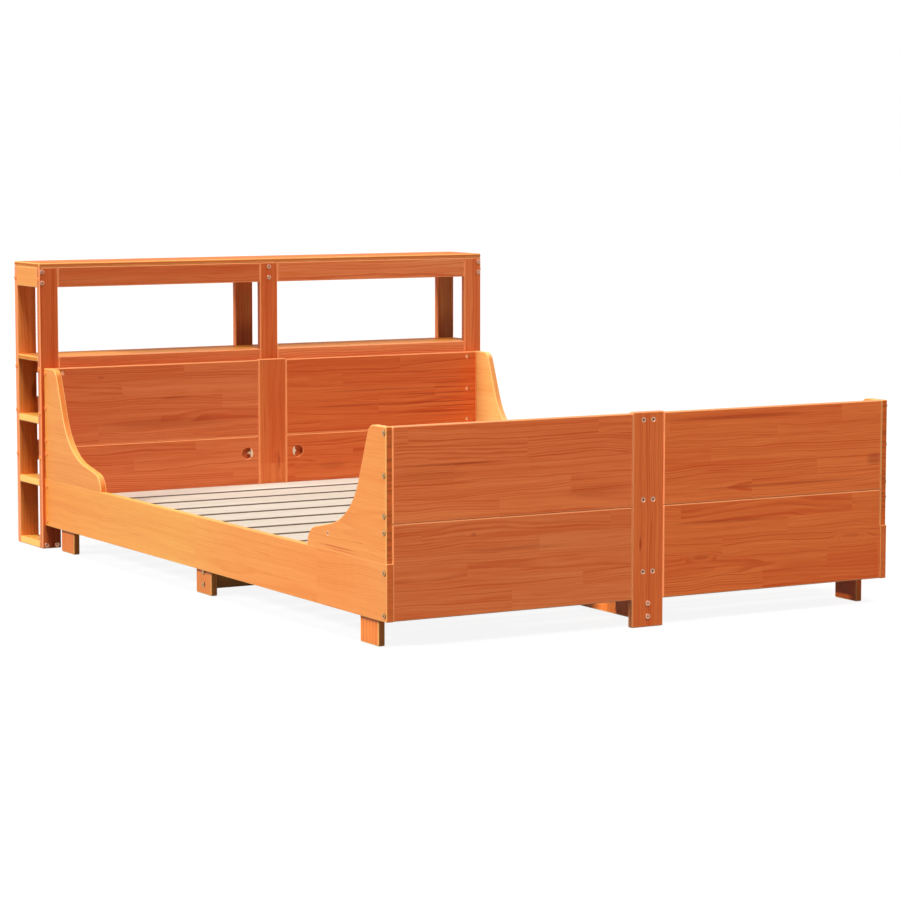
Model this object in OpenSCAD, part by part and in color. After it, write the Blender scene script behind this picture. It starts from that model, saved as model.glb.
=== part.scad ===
// Double bed of solid pine boards with four curved corner guards, a bare slatted base
// and an open bookcase that stands behind the headboard.
// Origin: on the floor, in the middle of the whole footprint. +Z is up, the bookcase is
// towards +Y and the footboard towards -Y. Left and right are as seen from the foot end.

/* [Mattress] */
// Width of the mattress
mattress_w = 1400; // [900:10:1800]
// Length of the mattress
mattress_l = 2000; // [1900:10:2200]
// Room beside the mattress, each side
mattress_side_gap = 5; // [2:1:20]
// Room beyond the mattress, each end
mattress_end_gap = 2; // [1:1:20]

/* [Bed frame] */
// Thickness of every board of the bed frame
board_t = 18; // [16:1:24]
// Chamfer on the edges of every board
edge_ease = 3; // [1:0.5:4]
// Height of the side rails' lower edge above the floor
rail_clear = 68; // [62:1:120]
// Height of a side rail
rail_h = 136; // [120:1:170]
// Height of one board of the headboard and footboard
end_board_h = 227; // [200:1:260]
// How far the rail ends stand out past the headboard and footboard
end_inset = 3; // [3:1:15]
// Width of the middle post of the headboard and footboard
post_w = 90; // [80:1:110]
// Height of the posts above the boards beside them
post_rise = 3; // [1:1:15]

/* [Corner guards] */
// Length of a guard along the rail
guard_l = 397; // [380:1:430]
// Width of the guard's top, to the corner before rounding
guard_top_w = 82; // [70:1:100]
// Radius of the guard's top corner
guard_top_r = 30; // [15:1:40]
// Distance from the guard's end to the corner under its hollow
guard_heel_x = 172.6; // [160:0.1:190]
// Height of that corner above the rail
guard_heel_z = 85.6; // [78:0.1:95]
// Radius of the hollow
guard_heel_r = 195; // [120:5:215]
// Height of the nose corner above the rail, before rounding
guard_nose_z = 41; // [40:1:60]
// Radius of the nose
guard_nose_r = 48; // [20:1:48]

/* [Legs and beams] */
// Width of a leg board
leg_w = 90; // [80:1:130]
// Distance from a rail end to the leg nearest to it
leg_inset = 74; // [60:1:200]
// Height of the slats' underside above the rails' lower edge
deck_rise = 66; // [56:1:90]
// Height of a ledger under the slat ends
ledger_h = 40; // [25:1:50]
// Clearance between the centre and cross beams and the floor
beam_clear = 14; // [6:1:24]
// Clearance of the halved joint where the two beams cross
lap_clear = 0.2; // [0.1:0.05:0.3]

/* [Slats] */
// Width of a slat
slat_w = 130; // [90:1:150]
// Thickness of a slat
slat_t = 18; // [12:1:24]
// Gap between slats
slat_gap = 23; // [15:1:60]
// Clearance between a slat's end and the side rail
slat_end_gap = 3; // [1:1:6]

/* [Bookcase] */
// How far the bookcase stands out past each side rail
case_over = 10; // [0:1:60]
// Depth of the bookcase
case_d = 188; // [150:1:350]
// Height of the bookcase
case_h = 823; // [780:1:1100]
// Thickness of the uprights, rails and cross bars
case_t = 20; // [18:1:26]
// Width of an upright
upright_w = 58; // [50:1:80]
// Height of a rail between the uprights
case_rail_h = 58; // [54:1:70]
// Thickness of the top board
case_top_t = 12; // [11:1:24]
// Thickness of the shelf
shelf_t = 14; // [12:1:24]
// Height of the shelf's upper face
shelf_z = 554; // [547:1:600]
// Drop from the shelf rail to the rail below it, and from that to the next
case_rail_pitch = 128; // [116:1:138]
// Thickness of the cross rails under the top board
cross_rail_t = 18; // [16:1:24]
// Spacing of the cross bars at the ends of the bookcase
cross_bar_pitch = 180; // [150:1:185]
// Number of cross bars at each end
cross_bar_n = 3; // [2:1:3]

/* [Connector bolts] */
// Diameter of the bolts and tie rods
bolt_d = 6; // [5:0.5:8]
// Length of a connector bolt past the middle of its barrel nut
bolt_overrun = 7; // [4:1:12]
// Diameter of a bolt head
bolt_head_d = 14; // [12:0.5:16]
// Height of a bolt head
bolt_head_h = 2.2; // [1.5:0.1:2.8]
// Hexagon socket in a bolt head, across its corners
socket_d = 4.6; // [3:0.1:4.8]
// Distance from a board's end to the barrel nut in it
nut_setback = 33; // [28:1:34]
// Diameter of a barrel nut
nut_d = 13; // [10:0.5:14]
// Length of a barrel nut
nut_len = 14; // [10:0.5:14]
// Distance from an outer board edge to the outermost bolt of the headboard and footboard
end_bolt_edge = 14.5; // [10:0.5:20]
// Distance from the seam between two end boards to the bolts beside it
seam_bolt_edge = 19.5; // [10:0.5:25]
// Distance from a beam's lower edge to its lower bolt
beam_bolt_edge = 12; // [8:1:14]
// Distance from the rails' lower edge down to the beams' upper bolt
beam_bolt_drop = 10; // [8:1:12]
// Height of a rail's bolt above the lower edge of a bookcase rail
case_bolt_rise = 22; // [20:1:22]
// Distance from the edge of a cross rail or cross bar to its bolts
cross_bolt_edge = 13; // [12:0.5:13]

/* [Cams and tie rods] */
// Diameter of a cam
cam_d = 14; // [12:0.5:16]
// Depth of a cam
cam_h = 12.5; // [11:0.5:14]
// Distance from a post's edge to the cams in it
post_cam_in = 31; // [28:1:34]
// Height of the lower cam above the lower edge of the end boards
low_cam_rise = 68; // [50:1:100]
// Distance from the seam, and from the top edge, to the upper cams
seam_cam_edge = 16.5; // [14:0.5:25]
// Distance from the guard's end to its cam
guard_cam_x = 290; // [240:1:320]
// Height of the guard's cam above the rail
guard_cam_z = 40; // [32:1:44]
// Diameter of the thinner cam bolts
cam_bolt_d = 5; // [4:0.5:6]
// Depth of a cam bolt's thread
cam_thread = 12; // [8:1:16]
// Diameter of a tie rod's pocket
pocket_d = 35; // [30:1:40]
// Thickness of wood left behind a tie rod's pocket
pocket_floor = 3; // [2:0.5:3]
// Distance from the middle of the bed to a pocket's centre
pocket_x = 84; // [80:1:100]
// Distance from the seam down to the tie rod
tie_rod_drop = 50; // [40:1:70]
// Greatest thickness of a half-moon washer
washer_t = 7; // [5:0.5:9]
// Tie rod nut, across its corners
tie_nut_d = 11; // [10:0.1:11]
// Thickness of a tie rod nut
tie_nut_t = 5; // [3:0.5:6]
// Length of tie rod showing past the nut
tie_rod_over = 2.5; // [1:0.5:5]

/* [Dowels and screws] */
// Diameter of the wooden dowels
dowel_d = 8; // [6:0.5:8]
// Length of a dowel
dowel_len = 30; // [28:1:34]
// Depth of a dowel in the side of a board
dowel_side_depth = 12; // [10:1:14]
// Depth of a dowel in the top board
dowel_top_depth = 8; // [6:1:9]
// Distance from a rail's bolt up to the dowel beside it
dowel_rise = 20; // [17:1:22]
// Diameter of the wood screws
screw_d = 4.5; // [4:0.5:5]
// Length of a wood screw under its head
screw_len = 30; // [26:1:32]
// Diameter of a screw head
screw_head_d = 9; // [8:0.5:10]
// Height of a screw head
screw_head_h = 2; // [1:0.5:3]
// Distance from a leg's edge to its screws
leg_screw_edge = 16; // [10:1:22]
// Distance from a leg's top to its upper screws, and from the rail's edge to its lower ones
leg_screw_drop = 16; // [10:1:20]
// Number of screws in a ledger
ledger_screw_n = 4; // [2:1:6]

/* [Hidden] */
// Clearance round a bolt or rod in its bore
bore_clear = 0.4;
// Clearance round a nut, cam, washer, dowel or screw
fit_clear = 0.1;
// Spare depth at the end of a blind bore
bore_spare = 1;
// How far a cutter starts outside the face that it cuts
cut_over = 1;
// Points along each rounded corner of the guard
guard_arc_steps = 16;
$fn = 48;

pine = [0.83, 0.47, 0.25];
pine_dark = [0.72, 0.38, 0.19];
bare_pine = [0.94, 0.87, 0.76];
beech = [0.86, 0.72, 0.52];
steel = [0.78, 0.76, 0.73];
brass = [0.87, 0.60, 0.42];

left = -1;
right = 1;
foot = 0;
head = 1;

// Bed frame, measured from the rails' foot ends
rail_in = mattress_w / 2 + mattress_side_gap;
rail_out = rail_in + board_t;
rail_l = mattress_l + 2 * (mattress_end_gap + board_t + end_inset);
rail_top = rail_clear + rail_h;
seam_z = rail_clear + end_board_h;
panel_top = seam_z + end_board_h;
guard_h = panel_top - rail_top;
post_top = panel_top + post_rise;
mid_y = rail_l / 2;
deck_z = rail_clear + deck_rise;
inner_l = rail_l - 2 * (end_inset + board_t);
end_board_l = rail_in - post_w / 2;
beam_h = deck_z - beam_clear;
cross_beam_l = 2 * (rail_in - board_t);
ledger_l = mid_y - leg_w / 2 - leg_inset - leg_w;
slat_l = 2 * (rail_in - slat_end_gap);
slat_n = floor((inner_l + slat_gap) / (slat_w + slat_gap));

// Both lengths of connector bolt, under the head
bolt_len = max(board_t, case_t) + nut_setback + bolt_overrun;
long_bolt_len = upright_w + nut_setback + bolt_overrun;

// Bookcase
case_w = 2 * (rail_out + case_over);
case_y = rail_l;
case_inner_d = case_d - 2 * case_t;
upright_h = case_h - case_top_t;
outer_upright_x = case_w / 2 - upright_w / 2;
case_rail_l = (case_w - 3 * upright_w) / 2;
case_rail_x = upright_w / 2 + case_rail_l / 2;
case_rail_tops = [upright_h, shelf_z, shelf_z - case_rail_pitch, shelf_z - 2 * case_rail_pitch];
case_top_rail = 0;
case_shelf_rail = 1;

overall_l = rail_l + case_d + bolt_head_h;

function end_sign(end) = end == foot ? -1 : 1;
function at_end(end, inset) = end == foot ? inset : rail_l - inset;
function panel_y(end) = at_end(end, end_inset + board_t / 2);
function leg_y(place) = [leg_inset + leg_w / 2, mid_y, rail_l - leg_inset - leg_w / 2][place];
function case_row_y(row) = case_y + (row == foot ? case_t / 2 : case_d - case_t / 2);
function case_face_y(row) = case_y + (row == foot ? 0 : case_d);
function case_inner_y(row) = case_y + (row == foot ? case_t : case_d - case_t);
function unit(v) = v / norm(v);

// Heights of the fixings in the headboard and footboard
end_bolt_z = [
    rail_clear + end_bolt_edge,
    rail_clear + end_board_h / 2,
    seam_z - seam_bolt_edge,
    seam_z + seam_bolt_edge,
    panel_top - end_board_h / 2,
    panel_top - end_bolt_edge
];
cam_z = [rail_clear + low_cam_rise, seam_z + seam_cam_edge, panel_top - seam_cam_edge];
tie_rod_z = seam_z - tie_rod_drop;
beam_bolt_z = [beam_clear + beam_bolt_edge, rail_clear - beam_bolt_drop];
post_cam_x = post_w / 2 - post_cam_in;
pocket_h = board_t - pocket_floor;
washer_x = pocket_x - pocket_d / 2 + washer_t;
tie_rod_half = washer_x + tie_nut_t + tie_rod_over;

// A bolted joint holds its head's seat, the bolt's direction, the thickness of the board
// under the head, the direction in which the nut's hole opens and the bolt's length
function joint(seat, way, grip, nut_way, len) = [seat, way, grip, nut_way, len];
function nut_centre(j) = j[0] + j[1] * (j[2] + nut_setback);

// The six bolts that pull a rail and its guard onto the headboard or footboard
function end_joints(side, end) = [
    for (z = end_bolt_z)
        joint([side * rail_out, panel_y(end), z], [-side, 0, 0], board_t,
              [0, -end_sign(end), 0], bolt_len)
];

// The bolts from a post into the centre beam
function post_joints(end) = [
    for (z = beam_bolt_z)
        joint([0, at_end(end, end_inset), z], [0, -end_sign(end), 0], board_t, [1, 0, 0], bolt_len)
];

// The bolts from a middle leg into the cross beam
function leg_joints(side) = [
    for (z = beam_bolt_z)
        joint([side * rail_in, mid_y, z], [-side, 0, 0], board_t, [0, 1, 0], bolt_len)
];

// The long bolt through an outer upright into the end of a rail
function case_rail_joint(side, row, level) =
    joint([side * case_w / 2, case_row_y(row), case_rail_tops[level] - case_rail_h + case_bolt_rise],
          [-side, 0, 0], upright_w, [0, -end_sign(row), 0], long_bolt_len);

// The bolts through an upright into a cross rail under the top board
function cross_rail_x(place) = place * (case_w - cross_rail_t) / 2;
function cross_rail_joints(place, row) = [
    for (rise = [cross_bolt_edge, case_rail_h - cross_bolt_edge])
        joint([cross_rail_x(place), case_face_y(row), upright_h - case_rail_h + rise],
              [0, -end_sign(row), 0], case_t, [place == 0 ? 1 : -place, 0, 0], bolt_len)
];

// The bolts through an upright into the lowest cross bar
cross_bar_half = upright_w / 2 - cross_bolt_edge;
function cross_bar_joints(side, row) = [
    for (shift = [-cross_bar_half, cross_bar_half])
        joint([side * outer_upright_x + shift, case_face_y(row), case_t / 2],
              [0, -end_sign(row), 0], case_t, [0, 0, 1], bolt_len)
];

// A dowel holds the point where it crosses the seam, its direction and its depth that way
function rail_dowels(side, row, level) = [
    for (d = [[1, 1], [0, 0], [0, 1]])
        [[side * (upright_w / 2 + d[0] * case_rail_l), case_row_y(row),
          case_rail_tops[level] - case_rail_h + case_bolt_rise + d[1] * dowel_rise],
         [side, 0, 0], dowel_len / 2]
];
function rail_quarter_x(side) = [
    for (part = [1 / 4, 3 / 4]) side * (upright_w / 2 + part * case_rail_l)
];
function shelf_dowels(side, row) = [
    for (x = rail_quarter_x(side))
        [[x, case_inner_y(row), shelf_z - shelf_t / 2], [0, end_sign(row), 0], dowel_side_depth]
];
function top_dowels(side, row) = [
    for (x = rail_quarter_x(side)) [[x, case_row_y(row), upright_h], [0, 0, 1], dowel_top_depth]
];
function cross_bar_z(i) = i * cross_bar_pitch + case_t / 2;
function bar_dowels(side, row) = [
    for (i = [1:cross_bar_n - 1], shift = [-cross_bar_half, cross_bar_half])
        [[side * outer_upright_x + shift, case_inner_y(row), cross_bar_z(i)],
         [0, end_sign(row), 0], dowel_side_depth]
];

// Wood screws: the head's seat and the way in
function leg_screws(side, place) = [
    for (y = [-1, 1], z = [rail_clear + leg_screw_drop, deck_z - leg_screw_drop])
        [[side * (rail_in - board_t), leg_y(place) + y * (leg_w / 2 - leg_screw_edge), z],
         [side, 0, 0]]
];
function ledger_start(half) = half == 0 ? leg_inset + leg_w : mid_y + leg_w / 2;
function ledger_screws(side, half) = [
    for (i = [0:ledger_screw_n - 1])
        [[side * (rail_in - board_t),
          ledger_start(half) + (i + 0.5) * ledger_l / ledger_screw_n,
          deck_z - ledger_h / 2],
         [side, 0, 0]]
];

// Node names
function name_no(stem, i) = str(stem, i < 10 ? "0" : "", i);
slat_names = [for (i = [1:slat_n]) name_no("slat_", i)];
side_names = ["left", "right"];
function side_of(i) = i == 0 ? left : right;
end_names = ["foot", "head"];
panel_names = ["footboard", "headboard"];
tier_names = ["lower", "upper"];
leg_names = ["foot", "middle", "head"];
column_names = ["left", "centre", "right"];
row_names = ["front", "rear"];

// Turns +Z to the direction given
module facing(way) {
    rotate([0, acos(way[2]), atan2(way[1], way[0])]) children();
}

// Moves the foot end to its place, so that the footprint is centred on the origin
module in_place() {
    translate([0, -overall_l / 2, 0]) children();
}

// A rectangle with its corners cut off
module eased_rectangle(w, h) {
    e = edge_ease;
    polygon([
        [-w / 2 + e, -h / 2], [w / 2 - e, -h / 2], [w / 2, -h / 2 + e], [w / 2, h / 2 - e],
        [w / 2 - e, h / 2], [-w / 2 + e, h / 2], [-w / 2, h / 2 - e], [-w / 2, -h / 2 + e]
    ]);
}

// A board with all its edges chamfered, centred on the point given
module board(centre, size) {
    translate(centre) intersection() {
        linear_extrude(size[2], center = true) eased_rectangle(size[0], size[1]);
        rotate([90, 0, 0]) linear_extrude(size[1], center = true) eased_rectangle(size[0], size[2]);
        rotate([90, 0, 90]) linear_extrude(size[0], center = true) eased_rectangle(size[1], size[2]);
    }
}

// Fasteners

// A flat round head with a hexagon socket on a plain shank
module bolt(j) {
    translate(j[0]) facing(j[1]) difference() {
        union() {
            translate([0, 0, -bolt_head_h]) cylinder(d = bolt_head_d, h = bolt_head_h);
            cylinder(d = bolt_d, h = j[4]);
        }
        translate([0, 0, -bolt_head_h - cut_over])
            cylinder(d = socket_d, h = bolt_head_h + cut_over, $fn = 6);
    }
}

// The bores for some joints' bolts
module bolt_bores(joints) {
    for (j = joints)
        translate(j[0]) facing(j[1]) translate([0, 0, -cut_over])
            cylinder(d = bolt_d + 2 * bore_clear, h = cut_over + j[4] + bore_spare);
}

// A cylinder that lies across the bolt and takes its thread
module barrel_nut(j) {
    translate(nut_centre(j)) difference() {
        facing(j[3]) cylinder(d = nut_d, h = nut_len, center = true);
        facing(j[1]) cylinder(d = bolt_d + 2 * fit_clear, h = nut_d + 2 * cut_over, center = true);
    }
}

// The blind holes for some joints' nuts, open on the side that the nut faces
module nut_bores(joints) {
    for (j = joints)
        translate(nut_centre(j)) facing(j[3]) translate([0, 0, -nut_len / 2])
            cylinder(d = nut_d + 2 * fit_clear, h = nut_len + case_t);
}

// A turning cam with a cross recess; the bolt's end comes in along the way given
module cam(centre, face_way, bolt_way) {
    recess_w = cam_d / 7;
    recess_l = cam_d / 2;
    recess_h = cam_h / 5;
    translate(centre) difference() {
        facing(face_way) translate([0, 0, board_t / 2 - cam_h]) difference() {
            cylinder(d = cam_d, h = cam_h);
            for (turn = [0, 90])
                rotate([0, 0, turn]) translate([0, 0, cam_h])
                    cube([recess_w, recess_l, 2 * recess_h], center = true);
        }
        facing(bolt_way) mirror([0, 0, 1])
            cylinder(d = cam_bolt_d + 2 * fit_clear, h = cam_d);
    }
}

module cam_pocket(centre, face_way) {
    translate(centre) facing(face_way) translate([0, 0, board_t / 2 - cam_h])
        cylinder(d = cam_d + 2 * fit_clear, h = cam_h + cut_over);
}

// A cam bolt runs from its thread's end to the middle of its cam
module cam_bolt(centre, way, reach, d, spare) {
    translate(centre) facing(way) mirror([0, 0, 1])
        cylinder(d = d, h = reach + cam_thread + spare);
}

function dowel_start(d) = d[0] - d[1] * (dowel_len - d[2]);

module dowel(d) {
    translate(dowel_start(d)) facing(d[1]) cylinder(d = dowel_d, h = dowel_len);
}

module dowel_bores(dowels) {
    for (d = dowels)
        translate(dowel_start(d)) facing(d[1]) translate([0, 0, -bore_spare])
            cylinder(d = dowel_d + 2 * fit_clear, h = dowel_len + 2 * bore_spare);
}

module screw(s) {
    translate(s[0]) facing(s[1]) {
        translate([0, 0, -screw_head_h]) cylinder(d = screw_head_d, h = screw_head_h);
        cylinder(d = screw_d, h = screw_len);
    }
}

module screw_bores(screws) {
    for (s = screws)
        translate(s[0]) facing(s[1]) translate([0, 0, -cut_over])
            cylinder(d = screw_d + 2 * fit_clear, h = cut_over + screw_len + bore_spare);
}

// Bed frame

// Where a guard's cam sits
function guard_cam_at(side, end) =
    [side * (rail_in + board_t / 2), at_end(end, end_inset + guard_cam_x), rail_top + guard_cam_z];

// The four guards are one board: turned round or turned over, its cam faces left at the foot and
// right at the head
function guard_cam_way(end) = [end_sign(end), 0, 0];

module guard_cam_bore(side, end) {
    cam_bolt(guard_cam_at(side, end), [0, 0, 1], guard_cam_z, cam_bolt_d + 2 * fit_clear, bore_spare);
}

module side_rail(side) {
    color(pine) in_place() difference() {
        board([side * (rail_in + board_t / 2), mid_y, rail_clear + rail_h / 2], [board_t, rail_l, rail_h]);
        for (end = [foot, head]) {
            bolt_bores(end_joints(side, end));
            guard_cam_bore(side, end);
        }
        for (place = [0:2]) screw_bores(leg_screws(side, place));
        for (half = [0, 1]) screw_bores(ledger_screws(side, half));
    }
}

// Points of an arc of radius r that rounds the corner c between points a and b
function rounded_corner(a, c, b, r) =
    let (
        u = unit(a - c),
        v = unit(b - c),
        half_turn = acos(u * v) / 2,
        centre = c + unit(u + v) * r / sin(half_turn),
        from = c + u * r / tan(half_turn) - centre,
        to = c + v * r / tan(half_turn) - centre,
        start = atan2(from[1], from[0]),
        sweep = atan2(cross(from, to), from * to)
    )
    [for (i = [0:guard_arc_steps])
        centre + r * [cos(start + sweep * i / guard_arc_steps), sin(start + sweep * i / guard_arc_steps)]];

// A guard's side view, from its end along the rail, and up from the rail
module guard_outline() {
    top_end = [0, guard_h];
    top_corner = [guard_top_w, guard_h];
    heel = [guard_heel_x, guard_heel_z];
    nose = [guard_l, guard_nose_z];
    nose_foot = [guard_l, 0];
    polygon(concat(
        [[0, 0], top_end],
        rounded_corner(top_end, top_corner, heel, guard_top_r),
        rounded_corner(top_corner, heel, nose, guard_heel_r),
        rounded_corner(heel, nose, nose_foot, guard_nose_r),
        [nose_foot]
    ));
}

module guard(side, end) {
    color(pine) in_place() difference() {
        translate([side * (rail_in + board_t / 2), at_end(end, end_inset), rail_top])
            mirror([0, end == head ? 1 : 0, 0]) rotate([90, 0, 90])
                linear_extrude(board_t, center = true) guard_outline();
        bolt_bores(end_joints(side, end));
        cam_pocket(guard_cam_at(side, end), guard_cam_way(end));
        guard_cam_bore(side, end);
    }
}

// Where a post's cam sits
function post_cam_at(side, end, z) = [side * post_cam_x, panel_y(end), z];

module post_cam_bores(end) {
    for (side = [left, right], z = cam_z)
        cam_bolt(post_cam_at(side, end, z), [-side, 0, 0], post_cam_in, cam_bolt_d + 2 * fit_clear,
                 bore_spare);
}

module tie_rod_bore(end) {
    translate([0, panel_y(end), tie_rod_z]) rotate([0, 90, 0])
        cylinder(d = bolt_d + 2 * bore_clear, h = 2 * pocket_x, center = true);
}

// The round pocket in which a tie rod's washer and nut sit, open to the mattress
module tie_rod_pocket(side, end) {
    translate([side * pocket_x, at_end(end, end_inset + board_t - pocket_h), tie_rod_z])
        facing([0, -end_sign(end), 0]) cylinder(d = pocket_d, h = pocket_h + cut_over);
}

// One of the four boards beside a post
module end_board(end, tier, side) {
    color(pine_dark) in_place() difference() {
        board([side * (post_w + end_board_l) / 2, panel_y(end), rail_clear + (tier + 0.5) * end_board_h],
              [end_board_l, board_t, end_board_h]);
        bolt_bores(end_joints(side, end));
        nut_bores(end_joints(side, end));
        post_cam_bores(end);
        tie_rod_bore(end);
        tie_rod_pocket(side, end);
    }
}

module end_post(end) {
    color(pine_dark) in_place() difference() {
        board([0, panel_y(end), post_top / 2], [post_w, board_t, post_top]);
        for (side = [left, right], z = cam_z)
            cam_pocket(post_cam_at(side, end, z), [0, end_sign(end), 0]);
        post_cam_bores(end);
        tie_rod_bore(end);
        bolt_bores(post_joints(end));
    }
}

module leg(side, place) {
    color(pine_dark) in_place() difference() {
        board([side * (rail_in - board_t / 2), leg_y(place), deck_z / 2], [board_t, leg_w, deck_z]);
        screw_bores(leg_screws(side, place));
        if (place == 1) bolt_bores(leg_joints(side));
    }
}

// The notch that lets one beam cross the other, in its upper or lower half
module beam_notch(size, z) {
    translate([0, mid_y, z]) cube(size, center = true);
}

module centre_beam() {
    notch_w = board_t + 2 * lap_clear;
    color(pine) in_place() difference() {
        board([0, mid_y, beam_clear + beam_h / 2], [board_t, inner_l, beam_h]);
        beam_notch([board_t + 2 * cut_over, notch_w, beam_h], deck_z - lap_clear);
        for (end = [foot, head]) {
            bolt_bores(post_joints(end));
            nut_bores(post_joints(end));
        }
    }
}

module cross_beam() {
    notch_w = board_t + 2 * lap_clear;
    color(bare_pine) in_place() difference() {
        board([0, mid_y, beam_clear + beam_h / 2], [cross_beam_l, board_t, beam_h]);
        beam_notch([notch_w, board_t + 2 * cut_over, beam_h], beam_clear);
        for (side = [left, right]) {
            bolt_bores(leg_joints(side));
            nut_bores(leg_joints(side));
        }
    }
}

module slat_ledgers() {
    color(bare_pine) in_place()
        for (side = [left, right], half = [0, 1])
            difference() {
                board([side * (rail_in - board_t / 2),
                       ledger_start(half) + ledger_l / 2,
                       deck_z - ledger_h / 2],
                      [board_t, ledger_l, ledger_h]);
                screw_bores(ledger_screws(side, half));
            }
}

// Slats are counted from the headboard
module slat(i) {
    slat_y = rail_l - end_inset - board_t - slat_w / 2 - i * (slat_w + slat_gap);
    color(bare_pine) in_place()
        board([0, slat_y, deck_z + slat_t / 2], [slat_l, slat_w, slat_t]);
}

// Bookcase

module upright(row, column) {
    color(pine) in_place() difference() {
        board([column * outer_upright_x, case_row_y(row), upright_h / 2], [upright_w, case_t, upright_h]);
        bolt_bores(cross_rail_joints(column, row));
        for (level = [0:3], side = column == 0 ? [left, right] : [column]) {
            if (column != 0) bolt_bores([case_rail_joint(side, row, level)]);
            dowel_bores(rail_dowels(side, row, level));
        }
        if (column != 0) {
            bolt_bores(cross_bar_joints(column, row));
            dowel_bores(bar_dowels(column, row));
        }
    }
}

module case_rail(side, row, level) {
    color(pine) in_place() difference() {
        board([side * case_rail_x, case_row_y(row), case_rail_tops[level] - case_rail_h / 2],
              [case_rail_l, case_t, case_rail_h]);
        bolt_bores([case_rail_joint(side, row, level)]);
        nut_bores([case_rail_joint(side, row, level)]);
        dowel_bores(rail_dowels(side, row, level));
        if (level == case_top_rail) dowel_bores(top_dowels(side, row));
        if (level == case_shelf_rail) dowel_bores(shelf_dowels(side, row));
    }
}

module case_rails(row) {
    for (side = [left, right], level = [0:3]) case_rail(side, row, level);
}

module top_cross_rails() {
    color(pine) in_place()
        for (place = [left, 0, right])
            difference() {
                board([cross_rail_x(place), case_y + case_d / 2, upright_h - case_rail_h / 2],
                      [cross_rail_t, case_inner_d, case_rail_h]);
                for (row = [foot, head]) {
                    bolt_bores(cross_rail_joints(place, row));
                    nut_bores(cross_rail_joints(place, row));
                }
            }
}

module cross_bars() {
    color(pine) in_place()
        for (side = [left, right], i = [0:cross_bar_n - 1])
            difference() {
                board([side * outer_upright_x, case_y + case_d / 2, cross_bar_z(i)],
                      [upright_w, case_inner_d, case_t]);
                for (row = [foot, head])
                    if (i == 0) {
                        bolt_bores(cross_bar_joints(side, row));
                        nut_bores(cross_bar_joints(side, row));
                    } else {
                        dowel_bores(bar_dowels(side, row));
                    }
            }
}

module bookcase_shelf() {
    color(pine) in_place() difference() {
        board([0, case_y + case_d / 2, shelf_z - shelf_t / 2], [case_w, case_inner_d, shelf_t]);
        for (side = [left, right], row = [foot, head]) dowel_bores(shelf_dowels(side, row));
    }
}

module bookcase_top() {
    color(pine) in_place() difference() {
        board([0, case_y + case_d / 2, case_h - case_top_t / 2], [case_w, case_d, case_top_t]);
        for (side = [left, right], row = [foot, head]) dowel_bores(top_dowels(side, row));
    }
}

// Groups of fasteners

module connector_bolts() {
    color(steel) in_place() {
        for (side = [left, right], end = [foot, head])
            for (j = end_joints(side, end)) bolt(j);
        for (end = [foot, head])
            for (j = post_joints(end)) bolt(j);
        for (side = [left, right])
            for (j = leg_joints(side)) bolt(j);
        for (place = [left, 0, right], row = [foot, head])
            for (j = cross_rail_joints(place, row)) bolt(j);
        for (side = [left, right], row = [foot, head])
            for (j = cross_bar_joints(side, row)) bolt(j);
    }
}

module long_connector_bolts() {
    color(steel) in_place()
        for (side = [left, right], row = [foot, head], level = [0:3])
            bolt(case_rail_joint(side, row, level));
}

module barrel_nuts() {
    color(brass) in_place() {
        for (side = [left, right], end = [foot, head])
            for (j = end_joints(side, end)) barrel_nut(j);
        for (end = [foot, head])
            for (j = post_joints(end)) barrel_nut(j);
        for (side = [left, right])
            for (j = leg_joints(side)) barrel_nut(j);
        for (place = [left, 0, right], row = [foot, head])
            for (j = cross_rail_joints(place, row)) barrel_nut(j);
        for (side = [left, right], row = [foot, head])
            for (j = cross_bar_joints(side, row)) barrel_nut(j);
        for (side = [left, right], row = [foot, head], level = [0:3])
            barrel_nut(case_rail_joint(side, row, level));
    }
}

module cams() {
    color(steel) in_place() {
        for (end = [foot, head], side = [left, right], z = cam_z)
            cam(post_cam_at(side, end, z), [0, end_sign(end), 0], [-side, 0, 0]);
        for (end = [foot, head], side = [left, right])
            cam(guard_cam_at(side, end), guard_cam_way(end), [0, 0, 1]);
    }
}

module cam_bolts() {
    color(steel) in_place() {
        for (end = [foot, head], side = [left, right], z = cam_z)
            cam_bolt(post_cam_at(side, end, z), [-side, 0, 0], post_cam_in, cam_bolt_d, 0);
        for (end = [foot, head], side = [left, right])
            cam_bolt(guard_cam_at(side, end), [0, 0, 1], guard_cam_z, cam_bolt_d, 0);
    }
}

module tie_rods() {
    color(steel) in_place()
        for (end = [foot, head])
            translate([0, panel_y(end), tie_rod_z]) rotate([0, 90, 0])
                cylinder(d = bolt_d, h = 2 * tie_rod_half, center = true);
}

// A half-moon that lies in its pocket against the side nearest to the post
module half_moon_washers() {
    moon_d = pocket_d - 2 * fit_clear;
    moon_h = pocket_h - fit_clear;
    color(steel) in_place()
        for (end = [foot, head], side = [left, right])
            difference() {
                translate([side * pocket_x, at_end(end, end_inset + board_t - pocket_h), tie_rod_z])
                    facing([0, -end_sign(end), 0]) cylinder(d = moon_d, h = moon_h);
                translate([side * (washer_x + pocket_d / 2), panel_y(end), tie_rod_z])
                    cube([pocket_d, 2 * board_t, 2 * pocket_d], center = true);
                tie_rod_bore(end);
            }
}

module tie_rod_nuts() {
    color(steel) in_place()
        for (end = [foot, head], side = [left, right])
            translate([side * washer_x, panel_y(end), tie_rod_z]) facing([side, 0, 0]) difference() {
                cylinder(d = tie_nut_d, h = tie_nut_t, $fn = 6);
                translate([0, 0, -cut_over])
                    cylinder(d = bolt_d + 2 * fit_clear, h = tie_nut_t + 2 * cut_over);
            }
}

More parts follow.
